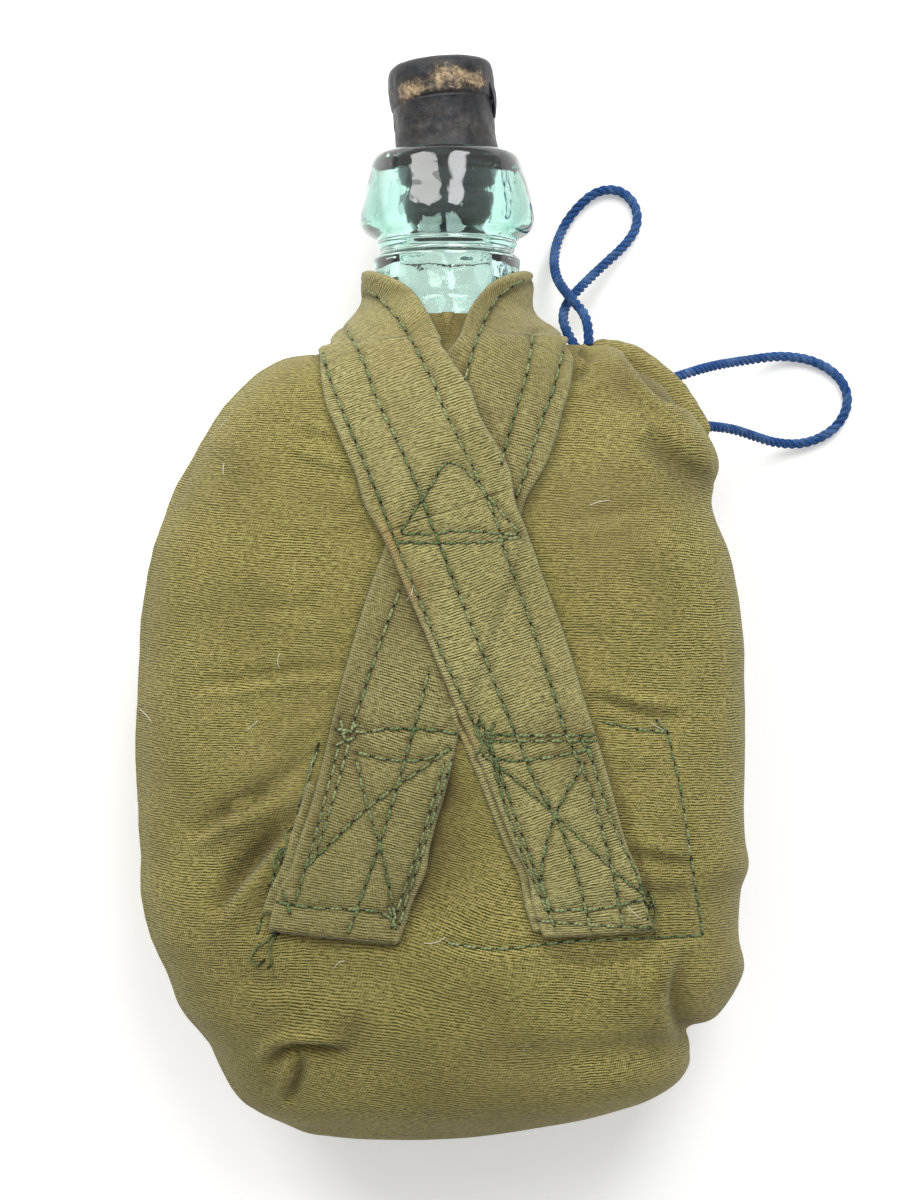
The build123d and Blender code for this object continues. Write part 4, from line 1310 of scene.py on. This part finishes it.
# ---- stopper ----
STOPPER_SIDE = [(0.05, 118.9), (6.0, 118.9), (9.4, 119.1), (10.4, 119.9), (10.5, 121.4), (9.6, 122.1),
                (8.9, 123.0), (9.6, 123.9), (10.5, 124.6), (10.5, 126.5), (11.0, 129.0), (11.75, 132.4),
                (11.75, 134.5), (11.7, 138.0), (11.75, 141.5), (11.85, 143.9), (11.95, 144.5),
                (12.05, 146.0), (12.1, 149.5),
                (11.9, 151.8), (11.2, 153.1), (9.4, 153.8), (5.0, 154.1), (0.05, 154.2)]
# Tan patches: turn in degrees, height over the band's edge, width in degrees, height, strength.
WORN_PATCHES = [
    (128, 2.0, 16, 1.9, 0.62), (82, 4.2, 20, 2.3, 0.66), (48, 3.0, 14, 2.2, 0.52),
    (100, 1.0, 30, 0.9, 0.25), (230, 3.0, 30, 2.0, 0.5), (310, 4.0, 24, 2.0, 0.45),
]


def rubber_stopper(material):
    """The stopper: plug and leaning head with a worn band; torn_flap makes the torn flap at its top
    right edge.
    """
    around = REVOLVED_POINTS
    turns = even_turns(around)
    side = catmull_rom(STOPPER_SIDE, np.linspace(0, len(STOPPER_SIDE) - 1, 150))
    radius, place = side[:, 0][:, None], side[:, 1][:, None]
    x = radius * np.cos(turns)[None, :]
    z = radius * np.sin(turns)[None, :]
    y = np.broadcast_to(place, x.shape).copy()
    band_edge = 143.7 + 1.3 * np.sin(turns + 0.1)[None, :]
    band = 0.20 * smoothstep(-0.3, 0.3, y - band_edge) - 0.22 * np.exp(-((y - band_edge) / 0.35) ** 2)
    head = smoothstep(133, 136, y)
    skin = np.stack([x, y, z], -1)
    dents = 0.30 * noise_at(skin, 5.0, 41) + 0.13 * noise_at(skin, 1.8, 42)
    scale = 1 + (band * (y > 140) - 0.3 * head + dents * head) / 12.0
    x, z = x * scale, z * scale
    worn = 0.30 * np.exp(-((y - band_edge - 2.6) / 2.4) ** 2) * (y > band_edge - 0.4)
    for angle_at, above_edge, wide, tall, amount in WORN_PATCHES:
        aside = np.abs((np.degrees(turns)[None, :] - angle_at + 180) % 360 - 180) / wide
        worn = worn + amount * np.exp(-aside ** 2 - ((y - band_edge - above_edge) / tall) ** 2)
    worn = worn * (radius > 8.0)
    facing = smoothstep(-0.2, 0.7, np.sin(turns + 0.5))[None, :]
    scuffed = (0.25 + 0.75 * facing) * np.exp(-((y - 138.0) / 3.2) ** 2) + 0.15
    angle = math.radians(STOPPER_LEAN)
    blend = smoothstep(LIP_TOP - 1, LIP_TOP + 3, y) * angle
    above = y - LIP_TOP
    leaned_x = x * np.cos(blend) - above * np.sin(blend)
    leaned_y = LIP_TOP + above * np.cos(blend) + x * np.sin(blend)
    leaned_y = np.where(y < LIP_TOP, y, leaned_y)
    points = np.stack([leaned_x, leaned_y, z + MIDDLE], -1)
    piece = mesh_piece("stopper", points.reshape(-1, 3), tube_faces(len(side), around), material,
                       STOPPER, values={"wear": worn, "scuffed": scuffed})
    merge_close(piece)
    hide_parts("rubber_stopper")
    return piece


def torn_flap(material):
    """A curled strip of skin that has torn away from the stopper's right side."""
    rows, columns = 22, 6
    points = []
    for row in range(rows):
        share = row / (rows - 1)
        y = 149.2 - 9.0 * share
        turn = math.radians(24 - 16 * share)
        out = 11.6 + 0.7 * math.sin(math.pi * share ** 0.8)
        for column in range(columns):
            spread = (column / (columns - 1) - 0.5) * math.radians(15) * (1 - 0.6 * share)
            curl = 0.5 * math.sin(3 * share + column)
            points.append(((out + 0.2 * curl) * math.cos(turn + spread) - FLAP_LEAN * (y - LIP_TOP),
                           y + 0.9 * math.cos(turn), MIDDLE + out * math.sin(turn + spread)))
    points = np.array(points)
    inward = points - np.array([0, 0, MIDDLE])
    inward[:, 1] = 0
    back = points - unit(inward) * 0.55
    count = len(points)
    faces = grid_faces(rows, columns, flip=True) + grid_faces(rows, columns, start=count)
    rim = list(range(columns))
    rim += [row * columns + columns - 1 for row in range(1, rows)]
    rim += [(rows - 1) * columns + column for column in range(columns - 2, -1, -1)]
    rim += [row * columns for row in range(rows - 2, 0, -1)]
    for here, after in zip(rim, rim[1:] + rim[:1]):
        faces.append([here, after, after + count, here + count])
    return mesh_piece("stopper_flap", np.concatenate([points, back]), faces, material,
                      STOPPER, values={"wear": np.zeros(2 * count), "scuffed": np.zeros(2 * count)})


# ---- the scene ----
def build():
    add_camera()
    add_studio(floor_material())
    yarn = yarn_material()
    top_loop = drawstring("top_loop", TOP_LOOP, TOP_LOOP_LENGTH, yarn)
    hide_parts("drawstring_top_loop")
    side_loop = drawstring("side_loop", SIDE_LOOP, SIDE_LOOP_LENGTH, yarn)
    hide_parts("drawstring_side_loop")

    cover_cloth = twill_material("cover_cloth", (0.405, 0.358, 0.116), (0.040, 0.032, 0.004),
                                 -0.02, 0.35)
    strap_cloth = twill_material("strap_cloth", (0.462, 0.424, 0.178), (0.046, 0.042, 0.010), 0.12, 0.45)
    front = cover_panel("cover_front", SEAM_RIGHT, SEAM_LEFT, cover_cloth,
                        ["front_panel", "inside_patch"], True)
    cover_panel("cover_back", SEAM_LEFT, 360 + SEAM_RIGHT, cover_cloth, ["back_panel"], False)
    casing = casing_roll(cover_cloth)

    rungs = strap_rungs()
    splice = len(UNDER_RUNGS) + len(NECK_RUNGS) + SPLICE_RUNG
    crossing = len(UNDER_RUNGS) + 3
    lower, lower_length = strap_piece("strap_under", rungs, 0, crossing, False, strap_cloth,
                                      ["neck_strap"], round_last=False)
    upper, upper_length = strap_piece("strap_over", rungs, crossing, splice, True, strap_cloth, [],
                                      start_length=lower_length, round_first=False, round_last=False)
    extension, _ = strap_piece("strap_extension_band", rungs, splice, len(rungs) - 1, True, strap_cloth,
                               ["strap_extension"], start_length=lower_length + upper_length,
                               round_first=False)
    strap_piece("strap_extension_ply", rungs, splice + 1.9, len(rungs) - 1.15, True, strap_cloth, [],
                shift=1.7, drop=-0.9)
    strap_piece("strap_under_ply", rungs, 0.55, 2.1, False, strap_cloth, [], shift=-2.3, drop=-0.8)
    tree = surface_tree([front, lower, upper, extension, casing])
    thread = thread_material()
    chance = random.Random(7)
    for name in STITCH_ROWS:
        stitch_group(name, tree, thread, chance)
    loose_threads(tree, thread)
    lint_fibres(tree, lint_material(), chance)

    glass_flask(glass_material())
    glass_bubbles(bubble_material(), chance)
    rubber = rubber_material()
    rubber_stopper(rubber)
    torn_flap(rubber)


build()
